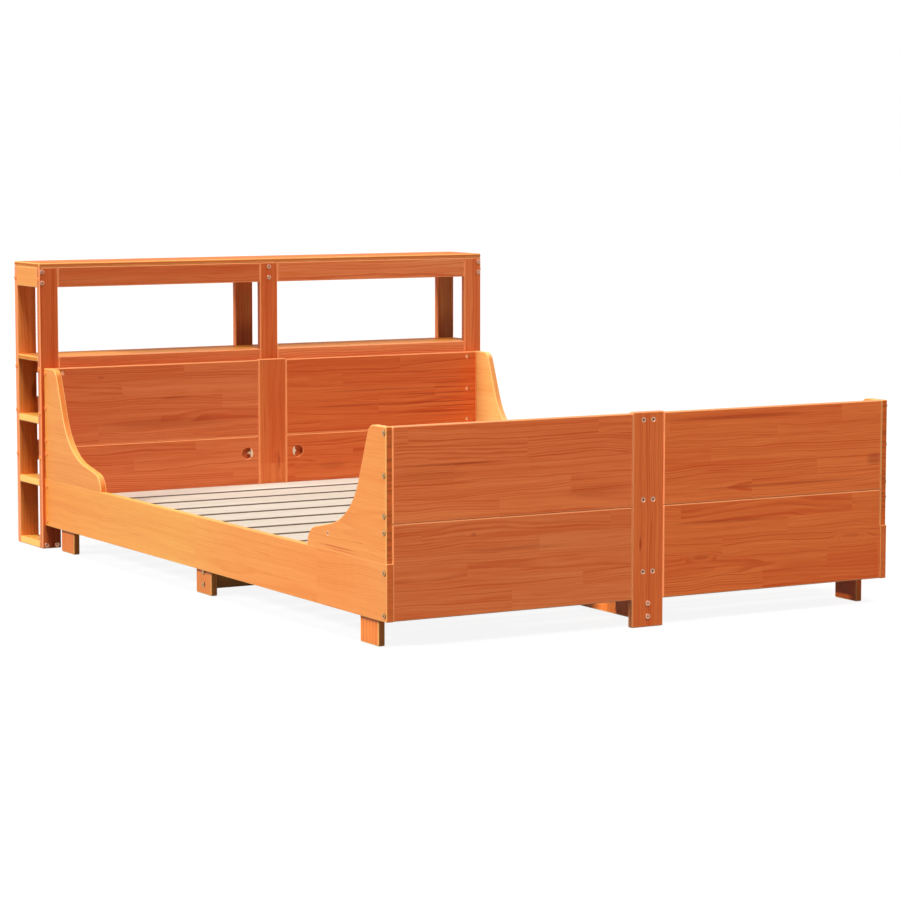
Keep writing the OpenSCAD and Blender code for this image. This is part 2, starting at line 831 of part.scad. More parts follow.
module wood_screws() {
    color(steel) in_place()
        for (side = [left, right]) {
            for (place = [0:2])
                for (s = leg_screws(side, place)) screw(s);
            for (half = [0, 1])
                for (s = ledger_screws(side, half)) screw(s);
        }
}

module dowels() {
    color(beech) in_place()
        for (side = [left, right], row = [foot, head]) {
            for (level = [0:3])
                for (d = rail_dowels(side, row, level)) dowel(d);
            for (d = shelf_dowels(side, row)) dowel(d);
            for (d = top_dowels(side, row)) dowel(d);
            for (d = bar_dowels(side, row)) dowel(d);
        }
}

for (s = [0, 1]) {
    side_rail(side_of(s));
    for (e = [foot, head]) {
        guard(side_of(s), e);
        for (t = [0, 1])
            end_board(e, t, side_of(s));
    }
    for (p = [0:2])
        leg(side_of(s), p);
}
for (e = [foot, head])
    end_post(e);
centre_beam();
cross_beam();
slat_ledgers();
for (i = [0:slat_n - 1])
    slat(i);
for (r = [foot, head], c = [0:2])
    upright(r, c - 1);
case_rails(foot);  // bookcase_front_rails
case_rails(head);  // bookcase_rear_rails
top_cross_rails();  // bookcase_top_cross_rails
cross_bars();  // bookcase_cross_bars
bookcase_shelf();
bookcase_top();
connector_bolts();
long_connector_bolts();
barrel_nuts();
cams();
cam_bolts();
tie_rods();
half_moon_washers();
tie_rod_nuts();
wood_screws();
dowels();
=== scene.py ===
"""The looks of a stained pine double bed with an open bookcase behind its headboard.

Every board is rebuilt from its CAD solid's corners with rounded edges, real holes for the
nuts and cams, and grain coordinates of its own. Lengths are in metres.
"""
import functools
import math

import bmesh
import bpy
import numpy as np
from mathutils import Matrix, Vector


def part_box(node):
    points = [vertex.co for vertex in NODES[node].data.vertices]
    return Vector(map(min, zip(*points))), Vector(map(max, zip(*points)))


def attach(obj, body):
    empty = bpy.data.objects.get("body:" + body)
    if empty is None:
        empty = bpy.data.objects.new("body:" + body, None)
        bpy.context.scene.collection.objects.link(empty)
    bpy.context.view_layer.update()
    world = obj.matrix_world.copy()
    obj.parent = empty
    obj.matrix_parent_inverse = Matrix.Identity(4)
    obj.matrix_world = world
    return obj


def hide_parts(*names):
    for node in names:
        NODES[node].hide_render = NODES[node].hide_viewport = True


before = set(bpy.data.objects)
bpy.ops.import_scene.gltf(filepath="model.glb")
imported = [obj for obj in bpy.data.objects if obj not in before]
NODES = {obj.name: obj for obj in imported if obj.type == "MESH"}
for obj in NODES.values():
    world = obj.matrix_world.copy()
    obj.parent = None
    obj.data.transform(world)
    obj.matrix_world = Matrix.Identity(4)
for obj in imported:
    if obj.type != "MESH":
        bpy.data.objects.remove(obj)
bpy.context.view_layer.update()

scene = bpy.context.scene
MM = 0.001
X, Y, Z = range(3)

# Sizes of the CAD model
RAILS_FOOT = -1.1181
EDGE_R = 3 * MM
BOLT_R = 3 * MM
BOLT_HEAD_R = 7 * MM
BOLT_HEAD_H = 2.2 * MM
SOCKET_R = 2.3 * MM
NUT_R = 6.5 * MM
CAM_R = 7 * MM
CAM_H = 12.5 * MM
FIT = 0.1 * MM
POCKET_R = 17.5 * MM
POCKET_X = 84 * MM
POCKET_DEPTH = 15 * MM
TIE_ROD_Z = 245 * MM
NOTCH = 18.4 * MM
LAP = 0.2 * MM

# The corner guard's side view: from its end along the rail, and up from the rail
GUARD_L = 397 * MM
GUARD_H = 318 * MM
GUARD_TOP = 82 * MM
GUARD_TOP_R = 30 * MM
GUARD_HEEL = (172.6 * MM, 85.6 * MM)
GUARD_HEEL_R = 195 * MM
GUARD_NOSE = 41 * MM
GUARD_NOSE_R = 48 * MM

# Edges that are eased less than the rest: the side rails' and cross beam's, and the guards'
SQUARE_R = 1 * MM
GUARD_EDGE_R = 0.8 * EDGE_R

# How finely round forms are divided
EDGE_STEPS = 3
GUARD_ARC_STEPS = 16
ROUND_STEPS = 32
POCKET_STEPS = 48
BOLT_STEPS = 24

# Degrees between two faces from which the edge looks sharp
BOARD_CREASE = 50
METAL_CREASE = 35

# Points this close are one point, and a solid holds points this far outside it
WELD = 1e-6
SPARE = 1e-5


# Small helpers for meshes

def read(items, key):
    """A vector of each item, as the rows of an array."""
    values = np.empty(len(items) * 3)
    items.foreach_get(key, values)
    return values.reshape(-1, 3)


def solids(node):
    """The lowest and highest corners of each separate solid of a CAD node."""
    bm = bmesh.new()
    bm.from_mesh(NODES[node].data)
    bmesh.ops.remove_doubles(bm, verts=bm.verts, dist=WELD)
    found, seen = [], set()
    for start in bm.verts:
        if start in seen:
            continue
        seen.add(start)
        stack, points = [start], []
        while stack:
            v = stack.pop()
            points.append(v.co[:])
            for e in v.link_edges:
                w = e.other_vert(v)
                if w not in seen:
                    seen.add(w)
                    stack.append(w)
        points = np.array(points)
        found.append((points.min(0), points.max(0)))
    bm.free()
    return sorted(found, key=lambda s: tuple(np.round(s[0], 4)))


def object_of(bm, name):
    """Turns a mesh into an object of the scene."""
    mesh = bpy.data.meshes.new(name)
    bmesh.ops.recalc_face_normals(bm, faces=bm.faces)
    bm.to_mesh(mesh)
    bm.free()
    piece = bpy.data.objects.new(name, mesh)
    scene.collection.objects.link(piece)
    return piece


def settle(piece):
    """Applies the piece's modifiers to its mesh."""
    bpy.context.view_layer.update()
    shaped = piece.evaluated_get(bpy.context.evaluated_depsgraph_get())
    mesh = bpy.data.meshes.new_from_object(shaped)
    piece.modifiers.clear()
    old, piece.data = piece.data, mesh
    mesh.name = piece.name
    bpy.data.meshes.remove(old)


def cut(piece, cutter):
    """Takes the cutter's volume out of the piece."""
    mod = piece.modifiers.new("cut", "BOOLEAN")
    mod.operation = "DIFFERENCE"
    mod.solver = "EXACT"
    mod.object = cutter
    settle(piece)
    bpy.data.objects.remove(cutter)


def smooth(piece, crease):
    """Shades the piece smooth, but for edges at least that sharp in degrees."""
    mesh = piece.data
    mesh.polygons.foreach_set("use_smooth", [True] * len(mesh.polygons))
    mesh.set_sharp_from_angle(angle=math.radians(crease))
    mod = piece.modifiers.new("normals", "WEIGHTED_NORMAL")
    mod.keep_sharp = True


def plain_box(bm, lo, hi):
    """Adds a box between two corners, and returns its points."""
    verts = bmesh.ops.create_cube(bm, size=1.0)["verts"]
    for v in verts:
        v.co = Vector([lo[i] + (v.co[i] + 0.5) * (hi[i] - lo[i]) for i in range(3)])
    return verts


def eased_box(bm, lo, hi, ease):
    """Adds a box with rounded edges."""
    edges = list({e for v in plain_box(bm, lo, hi) for e in v.link_edges})
    bmesh.ops.bevel(bm, geom=edges, offset=ease, segments=EDGE_STEPS, profile=0.5,
                    affect="EDGES", clamp_overlap=True)


def notch(piece, lo, hi):
    """Takes the box between two corners out of the piece."""
    bm = bmesh.new()
    plain_box(bm, lo, hi)
    cut(piece, object_of(bm, "notch"))


def turned(bm, profile, place, steps=ROUND_STEPS):
    """Adds a turned form round +Z, and returns its faces.

    Each ring is (height, radius), or (height, radius, "hex") for a hexagon."""
    sixth = math.pi / 3
    rings, faces = [], []
    for z, r, *hexagon in profile:
        ring = []
        for i in range(steps):
            a = 2 * math.pi * i / steps
            k = r * math.cos(sixth / 2) / math.cos(a % sixth - sixth / 2) if hexagon else r
            ring.append(bm.verts.new(place @ Vector((k * math.cos(a), k * math.sin(a), z))))
        rings.append(ring)
    for a, b in zip(rings, rings[1:]):
        for i in range(steps):
            j = (i + 1) % steps
            faces.append(bm.faces.new((a[i], a[j], b[j], b[i])))
    return faces + [bm.faces.new(rings[0]), bm.faces.new(rings[-1])]


def facing(at, way):
    """Moves the origin to a point and turns +Z to the direction given."""
    return Matrix.Translation(Vector(at)) @ Vector(way).to_track_quat("Z", "Y").to_matrix().to_4x4()


def unit(axis, sign):
    """A vector of that length along one axis."""
    way = Vector((0, 0, 0))
    way[axis] = sign
    return way


def dress(piece, materials, slot, *replaced):
    """Gives the piece its materials, sets it under the root, and hides the nodes that it replaces."""
    piece.data.materials.clear()
    for material in materials:
        piece.data.materials.append(material)
    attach(piece, "root")
    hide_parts(*replaced)


# Boards

# How far the seed moves on from board to board and from block to block, and the grain's
# start with the seed
SEED_STEP = 7.31
BLOCK_STEP = 3.7
START_STEP = 0.377

# What a face of a board is, by the share of its normal along one of the board's axes
TO_FOOT = 0.9
TO_LEFT = 0.3
FLAT = 0.995
RIM = (0.3, 0.95)
GUARD_RIM = (0.05, 0.98)
END_FROM = 0.55
END_RISE = 0.4
SQUARE_END = 0.9999
SLOPE_END = 0.7
# A face lies at an edge when it is closer than this many times the edge's radius
EDGE_REACH = 1.05


class Plank:
    """One board: its corners, the axis of its grain, and how it is glued up.

    A lamella is the height of its glued strips, and a joint the length of a strip's blocks.
    Blocks are also the lengths between full-height finger joints, each with its own tint.
    The faces that look to the foot end take a tint of their own, which is painted shade, and
    a factor says how much lighter than the rest the eased edge on the left is, which is a
    painted highlight. Shades are tints at places along the board, from its low end, between
    which the tone changes evenly.
    A mark is a knot or a dark streak, and on some boards painted shade: its place along and
    across the board from the low corner, its half length and height, how far it bends the
    rings, and its darkness.
    """

    count = 0

    def __init__(self, lo, hi, along=None, lamella=1.0, joint=20.0, ease=EDGE_R, end=1.0,
                 left_rim=1.0, tint=(1, 1, 1), foot_face_shade=(1, 1, 1), joints=(), tints=(), shades=(),
                 marks=()):
        self.lo, self.hi = np.array(lo, float), np.array(hi, float)
        size = self.hi - self.lo
        self.along = int(np.argmax(size)) if along is None else along
        self.depth = int(np.argmin(size))
        self.across = 3 - self.along - self.depth
        self.lamella, self.joint, self.ease, self.end = lamella, joint, ease, end
        self.left_rim = left_rim
        self.foot_face_shade = np.array(foot_face_shade)
        self.joints, self.shades = joints, shades
        self.tints = [np.array(tint) * np.array(b) for b in (tints or [(1, 1, 1)])]
        Plank.count += 1
        self.seed = 1.0 + SEED_STEP * Plank.count
        self.start = self.lo[self.along] - (self.seed * START_STEP) % 1.0
        shift = self.lo[self.along] - self.start
        self.marks = [(self.seed, m[0] + shift, *m[1:]) for m in marks]

    def holds(self, points):
        return np.all((points > self.lo - SPARE) & (points < self.hi + SPARE), axis=-1)


def between(values, limits):
    return (values > limits[0]) & (values < limits[1])


def face_kinds_of(k, centre, normal, curved):
    """How far each face of a board is an eased edge, a sawn end and a narrow side."""
    n = np.abs(normal)
    end = np.clip((n[:, k.along] - END_FROM) / END_RISE, 0, 1)
    if curved:
        eased = between(n[:, k.depth], GUARD_RIM)
        end = np.where(n[:, k.along] > SQUARE_END, 1, SLOPE_END * end)
    else:
        near = np.minimum(centre - k.lo, k.hi - centre) < EDGE_REACH * k.ease
        rim = near[:, k.depth] & between(n[:, k.depth], RIM)
        eased = (n.max(1) < FLAT) & ((near.sum(1) > 1) | rim)
    # Painted highlight: eased faces on the board's left side are weighted by the left edge's lightening
    # factor.
    rim_highlight = (normal[:, X] < -TO_LEFT) & (centre[:, X] < k.lo[X] + k.ease)
    narrow = np.where(eased, 0, n[:, k.across])
    return np.stack([np.where(rim_highlight, eased * k.left_rim, eased), end * k.end, narrow], 1)


def mark_grain(piece, planks, curved):
    """Gives each point its place in its board, and each face its kind and tint."""
    mesh = piece.data
    co = read(mesh.vertices, "co")
    centre, normal = read(mesh.polygons, "center"), read(mesh.polygons, "normal")
    grain, board = np.zeros_like(co), np.zeros_like(centre)
    face_kinds, tint = np.zeros_like(centre), np.ones_like(centre)
    for k in planks:
        mine, faces = k.holds(co), k.holds(centre)
        for i, axis in enumerate((k.along, k.across, k.depth)):
            low = k.start if i == 0 else k.lo[axis]
            grain[mine, i] = co[mine, axis] - low
        c, n = centre[faces], normal[faces]
        block = np.searchsorted(np.array(k.joints), c[:, k.along])
        board[faces] = np.stack([k.seed + BLOCK_STEP * block, np.full(len(c), k.lamella),
                                 np.full(len(c), k.joint)], 1)
        # The board's tint, partly painted light and shade, times the painted shade of its faces that look
        # to the foot end.
        tint[faces] = np.array(k.tints)[block] * np.where(n[:, Y:Y + 1] < -TO_FOOT, k.foot_face_shade, 1)
        if k.shades:
            places, tones = zip(*k.shades)
            at = c[:, k.along] - k.lo[k.along]
            tint[faces] *= np.stack([np.interp(at, places, tone) for tone in zip(*tones)], 1)
        face_kinds[faces] = face_kinds_of(k, c, n, curved)
    for name, domain, values in (("grain", "POINT", grain), ("board", "FACE", board),
                                 ("face_kinds", "FACE", face_kinds), ("tint", "FACE", tint)):
        mesh.attributes.new(name, "FLOAT_VECTOR", domain).data.foreach_set("vector", values.ravel())


# Which boards a node has

# Names, or starts of names, of the nodes that are boards, of bare wood, and of paler wood,
# whose paler stain is partly painted light for the lit left and top sides these boards show
BOARDS = ("side_rail", "guard", "footboard", "headboard", "leg", "slat", "bookcase",
          "centre_beam", "cross_beam")
BARE = ("slat", "cross_beam")
PALE_AND_LIT = ("side_rail", "guard", "bookcase_top", "bookcase_shelf", "bookcase_cross_bars", "leg",
        "centre_beam")
SHELVES = ("bookcase_top", "bookcase_shelf")

# How boards are glued up. A panel's upper or lower half has five strips.
PANEL_GLUE = {"lamella": 0.227 / 5, "joint": 0.52}
SHELF_GLUE = {"lamella": 0.047, "joint": 0.6, "end": 0.15}
GUARD_GLUE = {"along": Y, "lamella": 0.064}
# Painted highlight: how many times lighter the footboard's eased edge on the left is, where the guard
# beside it shades it.
FOOTBOARD_LEFT_HIGHLIGHT = 1.7

# The side rails' full-height finger joints, from the foot, and the tints of their blocks
RAIL_JOINTS = (0.349, 1.035)
RAIL_BLOCKS = ((1, 1, 1), (1, 1, 1), (1, 1.04, 1.02))

# Tones along the side rails from the foot, and along the slat by the headboard from the left;
# the slat's tones are painted light that lifts the shadow of the guard at the head's left corner
RAIL_SHADES = ((0.0, (1.05, 1.03, 1.22)), (0.25, (1.04, 0.88, 0.82)), (0.8, (1.02, 0.92, 0.80)),
               (1.15, (1.03, 1.12, 0.96)), (1.6, (1.01, 0.94, 0.70)), (2.05, (1.02, 0.85, 0.55)))
HEAD_SLAT = max((n for n in NODES if n[:5] == "slat_" and n[5:].isdigit()), key=lambda n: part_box(n)[0][Y])
HEAD_SLAT_PAINTED_LIGHT = ((0.0, (1.32, 1.42, 1.48)), (0.4, (1.26, 1.34, 1.38)), (1.0, (1.08, 1.12, 1.14)))
SHADE_STEP = 40 * MM

# Knots and dark streaks that the photograph shows, as (along, across, half length,
# half height, bend, darkness)
MARKS = {
    "footboard_upper_left": [(0.150, 0.132, 0.170, 0.0035, 0, 0.9), (0.10, 0.110, 0.12, 0.018, 0, 0.25),
                             (0.56, 0.045, 0.11, 0.020, 0, 0.25)],
    "footboard_lower_left": [(0.33, 0.151, 0.17, 0.008, 0, 0.35), (0.215, 0.189, 0.012, 0.004, 0.3, 0.5)],
    "footboard_upper_right": [(0.22, 0.206, 0.24, 0.006, 0, 0.6), (0.64, 0.080, 0.03, 0.018, 0, 0.7),
                              (0.36, 0.032, 0.30, 0.004, 0, 0.7)],
    "footboard_lower_right": [(0.111, 0.0925, 0.030, 0.006, 1.0, 0.45),
                              (0.569, 0.117, 0.03, 0.008, 1.6, 0.3), (0.17, 0.177, 0.17, 0.006, 0, 0.5)],
    "footboard_post": [(0.205, 0.023, 0.020, 0.004, 0.8, 0.9)],
    "headboard_upper_left": [(0.37, 0.054, 0.24, 0.020, 0, 0.4), (0.38, 0.127, 0.06, 0.005, 0, 0.6),
                             (0.151, 0.194, 0.012, 0.004, 0.3, 0.45)],
    "headboard_upper_right": [(0.37, 0.122, 0.30, 0.003, 0, 0.7), (0.23, 0.078, 0.16, 0.003, 0, 0.6),
                              (0.52, 0.104, 0.17, 0.0024, 0, 0.8), (0.55, 0.091, 0.13, 0.0022, 0, 0.8),
                              (0.50, 0.077, 0.20, 0.0026, 0, 0.8), (0.56, 0.063, 0.13, 0.0022, 0, 0.8),
                              (0.53, 0.049, 0.16, 0.0026, 0, 0.8), (0.57, 0.035, 0.10, 0.0022, 0, 0.7),
                              (0.56, 0.137, 0.12, 0.0024, 0, 0.7), (0.52, 0.152, 0.15, 0.0020, 0, 0.6)],
    "headboard_lower_right": [(0.155, 0.127, 0.06, 0.010, 1.0, 0.5)],
    "headboard_post": [(0.214, 0.065, 0.03, 0.006, 1.0, 0.6)],
    "guard_foot_left": [(0.24, 0.0115, 0.11, 0.0024, 0.5, 1.0), (0.21, 0.005, 0.09, 0.0018, 0, 0.9)],
    "side_rail_left": [(1.055, 0.078, 0.016, 0.007, 0.8, 0.5)],
    "leg_foot_left": [(0.03, 0.012, 0.10, 0.0030, 0, 0.8), (0.03, 0.027, 0.09, 0.0024, 0, 0.9),
                      (0.03, 0.041, 0.10, 0.0030, 0, 0.7), (0.03, 0.058, 0.10, 0.0026, 0, 0.9),
                      (0.03, 0.074, 0.09, 0.0030, 0, 0.8)],
    # Painted shade: these marks darken the rear uprights where they lie in shade inside the bookcase.
    "bookcase_rear_upright_left": [(0.40, 0.072, 0.75, 0.034, 0, 0.9)],
    "bookcase_rear_upright_centre": [(0.555, 0.045, 0.09, 0.09, 0, 0.9)],
    "bookcase_rear_upright_right": [(0.555, 0.045, 0.09, 0.09, 0, 0.9)],
}

# How much lighter or darker than the rest some boards are: partly the wood's own tone and
# partly painted light and shade, as on the headboard, darkened against the light bounced onto it,
# and on the cross beam and the leg at the foot on the right, darkened for the shade under the bed
TONE_AND_SHADE_TINTS = {
    "footboard_upper_left": (1.05, 1.06, 1.08),
    "footboard_lower_left": (1.00, 1.07, 1.18),
    "footboard_upper_right": (1.04, 0.98, 0.84),
    "footboard_lower_right": (1.02, 0.95, 0.78),
    "footboard_post": (1.00, 0.94, 0.82),
    "headboard_post": (0.79, 0.79, 0.76),
    "headboard_upper_right": (0.76, 0.67, 0.58),
    "headboard_lower_right": (0.76, 0.68, 0.62),
    "headboard": (0.77, 0.79, 0.93),
    "bookcase_front_upright_left": (0.77, 0.66, 0.57),
    "bookcase_front_upright_centre": (0.74, 0.62, 0.52),
    "bookcase_front_upright_right": (0.87, 0.86, 0.89),
    "bookcase_top_cross": (1.05, 1.05, 0.82),
    "bookcase_top": (0.74, 0.60, 0.60),
    "bookcase_shelf": (0.86, 0.81, 0.64),
    "bookcase_cross_bars": (1.12, 1.38, 1.08),
    "guard_foot_left": (1.04, 0.96, 0.97),
    "guard_foot_right": (1.0, 0.86, 0.68),
    "guard_head_right": (1.02, 1.36, 1.85),
    "guard": (1.0, 0.95, 0.80),
    "leg_foot_left": (0.80, 0.62, 0.50),
    "leg_foot_right": (0.88, 0.43, 0.20),
    "leg_head": (0.94, 0.64, 0.36),
    "leg": (0.92, 0.72, 0.58),
    "centre_beam": (1.2, 0.79, 0.56),
    "cross_beam": (0.54, 0.25, 0.08),
}
FRONT_RAIL_TINTS = {"left": (0.78, 0.79, 0.89), "right": (0.93, 1.2, 1.6)}

# Painted shade: how much lighter or darker the bookcase's faces that look to the foot end are than the rest
# of their boards
FOOT_FACE_SHADE = {
    "bookcase_top": (1.03, 0.67, 0.66),
    "bookcase_rear_upright_left": (1.1, 1.7, 1.6),
    "bookcase_rear_upright": (0.74, 1.24, 1.35),
}


def entry(table, node, otherwise):
    """The value of the table's first key that the node's name starts with."""
    return next((value for start, value in table.items() if node.startswith(start)), otherwise)


def planks_of(node):
    """The node's boards, with the looks that its name calls for."""
    parts = solids(node)
    if node == "bookcase_front_rails":
        return [Plank(*p, tint=FRONT_RAIL_TINTS["left" if p[0][X] < 0 else "right"]) for p in parts]
    look = {"tint": entry(TONE_AND_SHADE_TINTS, node, (1, 1, 1)), "foot_face_shade": entry(FOOT_FACE_SHADE, node, (1, 1, 1)),
            "marks": MARKS.get(node, ())}
    if node.startswith(("footboard", "headboard")) and "post" not in node:
        look.update(PANEL_GLUE)
        if node.startswith("footboard"):
            look.update(left_rim=FOOTBOARD_LEFT_HIGHLIGHT)
    if node in SHELVES:
        look.update(SHELF_GLUE)
    if node.startswith("guard"):
        look.update(GUARD_GLUE)
    if node.startswith(("bookcase_cross_bars", "bookcase_top_cross")):
        look.update(along=Y)
    if node.startswith(("cross_beam", "side_rail")):
        look.update(ease=SQUARE_R)
    if node.startswith("side_rail"):
        foot_end = parts[0][0][Y]
        look.update(joints=tuple(foot_end + j for j in RAIL_JOINTS), tints=RAIL_BLOCKS,
                    shades=RAIL_SHADES)
    if node == HEAD_SLAT:
        look.update(shades=HEAD_SLAT_PAINTED_LIGHT)
    return [Plank(*p, **look) for p in parts]


PLANKS = {n: planks_of(n) for n in sorted(NODES) if n.startswith(BOARDS)}


def marks_on(*starts):
    """The marks of all the boards of the nodes whose names start like this."""
    return [m for n, planks in PLANKS.items() if n.startswith(starts) for k in planks for m in k.marks]


# Materials

def srgb(r, g, b):
    """A colour as it looks on screen, 0 to 255, as a linear RGBA."""
    def linear(c):
        c /= 255
        return c / 12.92 if c <= 0.04045 else ((c + 0.055) / 1.055) ** 2.4
    return (linear(r), linear(g), linear(b), 1.0)


class Tree:
    """Short calls that add nodes to a material or a world."""

    def __init__(self, owner):
        owner.use_nodes = True
        self.owner = owner
        self.nodes, self.links = owner.node_tree.nodes, owner.node_tree.links

    def put(self, socket, value):
        """Links a socket to another, or sets it."""
        if isinstance(value, bpy.types.NodeSocket):
            self.links.new(value, socket)
        else:
            socket.default_value = value

    def fill(self, kind, *values, **settings):
        """A new node with its first sockets filled in order."""
        n = self.nodes.new(kind)
        for key, value in settings.items():
            setattr(n, key, value)
        for socket, value in zip(n.inputs, values):
            self.put(socket, value)
        return n

    def node(self, kind, out=0, settings=None, **inputs):
        """One output of a new node with its sockets filled by name."""
        n = self.fill(kind, **(settings or {}))
        for key, value in inputs.items():
            self.put(n.inputs[key.replace("_", " ")], value)
        return n.outputs[out]

    def math(self, operation, *values):
        return self.fill("ShaderNodeMath", *values, operation=operation).outputs[0]

    def add(self, a, b):
        return self.math("ADD", a, b)

    def sub(self, a, b):
        return self.math("SUBTRACT", a, b)

    def mul(self, a, b):
        return self.math("MULTIPLY", a, b)

    def div(self, a, b):
        return self.math("DIVIDE", a, b)

    def off_centre(self, value, by):
        """How far a value from 0 to 1 lies from its middle, times a factor."""
        return self.mul(self.sub(value, 0.5), by)

    def length(self, a, b):
        """The length of a vector with these two parts."""
        return self.math("SQRT", self.add(self.mul(a, a), self.mul(b, b)))

    def step(self, value, low, high, to_low=0.0, to_high=1.0):
        """A smooth step from one level to another."""
        return self.node("ShaderNodeMapRange", 0, {"interpolation_type": "SMOOTHSTEP"}, Value=value,
                         From_Min=low, From_Max=high, To_Min=to_low, To_Max=to_high)

    def mix(self, factor, a, b, blend="MIX"):
        """Two colours mixed. Their sockets share names with others, so they go by number."""
        n = self.fill("ShaderNodeMix", factor, data_type="RGBA", blend_type=blend)
        self.put(n.inputs[6], a)
        self.put(n.inputs[7], b)
        return n.outputs[2]

    def split(self, vector):
        return self.fill("ShaderNodeSeparateXYZ", vector).outputs

    def join(self, x, y, z):
        return self.fill("ShaderNodeCombineXYZ", x, y, z).outputs[0]

    def attribute(self, name):
        return self.node("ShaderNodeAttribute", 1, {"attribute_name": name})

    def noise(self, x, y, z, detail=2.0, roughness=0.5, out=0):
        return self.node("ShaderNodeTexNoise", out, Vector=self.join(x, y, z), Scale=1.0,
                         Detail=detail, Roughness=roughness)

    def random(self, x, y, z):
        return self.node("ShaderNodeTexWhiteNoise", 1, {"noise_dimensions": "3D"},
                         Vector=self.join(x, y, z))

    def bump(self, height, strength, distance):
        return self.node("ShaderNodeBump", 0, Strength=strength, Distance=distance, Height=height)

    def seen(self):
        """1 for what the camera sees straight, in a mirror or through glass, else 0."""
        ray = self.nodes.new("ShaderNodeLightPath").outputs
        straight_or_mirror = self.math("MAXIMUM", ray["Is Camera Ray"], ray["Is Glossy Ray"])
        return self.math("MAXIMUM", straight_or_mirror, ray["Is Transmission Ray"])


# The pine's figure: waves per metre along a board and across it
WANDER = (1.7, 4.0)
RIPPLE = (5.5, 10.0)
KNOTS = (2.4, 9.0)
UNEVEN = (8.0, 70.0)
BROAD = (1.0, 12.0)
PATCH = (2.0, 36.0)
STREAK = (2.6, 105.0)
FIBRE = (16.0, 480.0)
DASH = (7.0, 190.0)

# The edges between glued strips: their waves per metre, how far they stray as a share of a
# strip, and how each row of blocks starts later than the one before
STRIP_WAVES = 11.0
STRIP_STRAYS = 0.9
STAGGER = 0.618

# Where the noise is read for a block and for a board, so that no two look alike
BLOCK_SHIFT = 17.0
BOARD_SHIFT = 3.0

# Where the pith lies beside a block and under it, and how far noise and knots move the rings
WIDEST_STRIP = 100 * MM
PITH_SIDE = 300 * MM
PITH_DEPTH = (14 * MM, 60 * MM)
RIPPLE_BY = 12 * MM
WAVE_BY = 20 * MM
WANDER_BY = 35 * MM
KNOT_BY = 16 * MM

# A ring's width, the shares of it over which it darkens and pales, how strong the faintest
# is, how rare strong ones are, and how much noise is in their distance, counted in rings
RING_W = 6.2 * MM
RING_DARKENS = (0.2, 0.8)
RING_PALES = (0.88, 1.0)
FAINTEST_RING = 0.16
RARE_RINGS = 2.5
RINGS_UNEVEN = 0.7
RINGS_WANDER = 1.2

# The share of places with a knot, how far from their centres knots and marks fade, and how
# much a mark covers where it has no streaks
KNOT_SHARE = 0.1
KNOT_CORE = (0.03, 0.09)
KNOT_REACH = 0.42
MARK_FADE = (0.35, 1.15)
MARK_REACH = 2.6
MARK_COVERS = 0.2

# How much broad changes and fibres move the tone, and how fully the other colours cover it
BROAD_BY = 0.6
FIBRE_BY = 0.5
DASH_FROM = (0.68, 0.76)
DASH_COVERS = 0.4
KNOT_COVERS = 0.8
SIDE_COVERS = 0.7
SIDE_RINGS = 0.3
END_COVERS = 0.9
RIM_COVERS = 0.9
KNOT_BROWN = srgb(96, 34, 16)

# The dark bars on sawn ends: waves per metre across and through the board. They vary from
# block to block, and are fainter on slanted ends and on boards that aren't glued from strips.
BAR_WAVES = (130.0, 24.0)
BAR_SHIFT = 5.0
BARS_FROM = (0.42, 0.64)
BARS_VARY = 0.3
BARS_ON_SLOPES = (0.75, 1.0, 0.25, 1.0)
BARS_BY_HEIGHT = (0.1, 0.8, 1.0, 0.3)
BARS_COVER = 0.5
END_BROWN = srgb(140, 50, 10)

# The bump's strength and depth, what rings and fibres add to it, and what they do to roughness
BUMP = (0.14, 0.6 * MM)
RING_RELIEF = -0.6
FIBRE_RELIEF = 0.6
RING_ROUGHNESS = 0.08
FIBRE_ROUGHNESS = 0.16
COAT_ROUGHNESS = 0.35


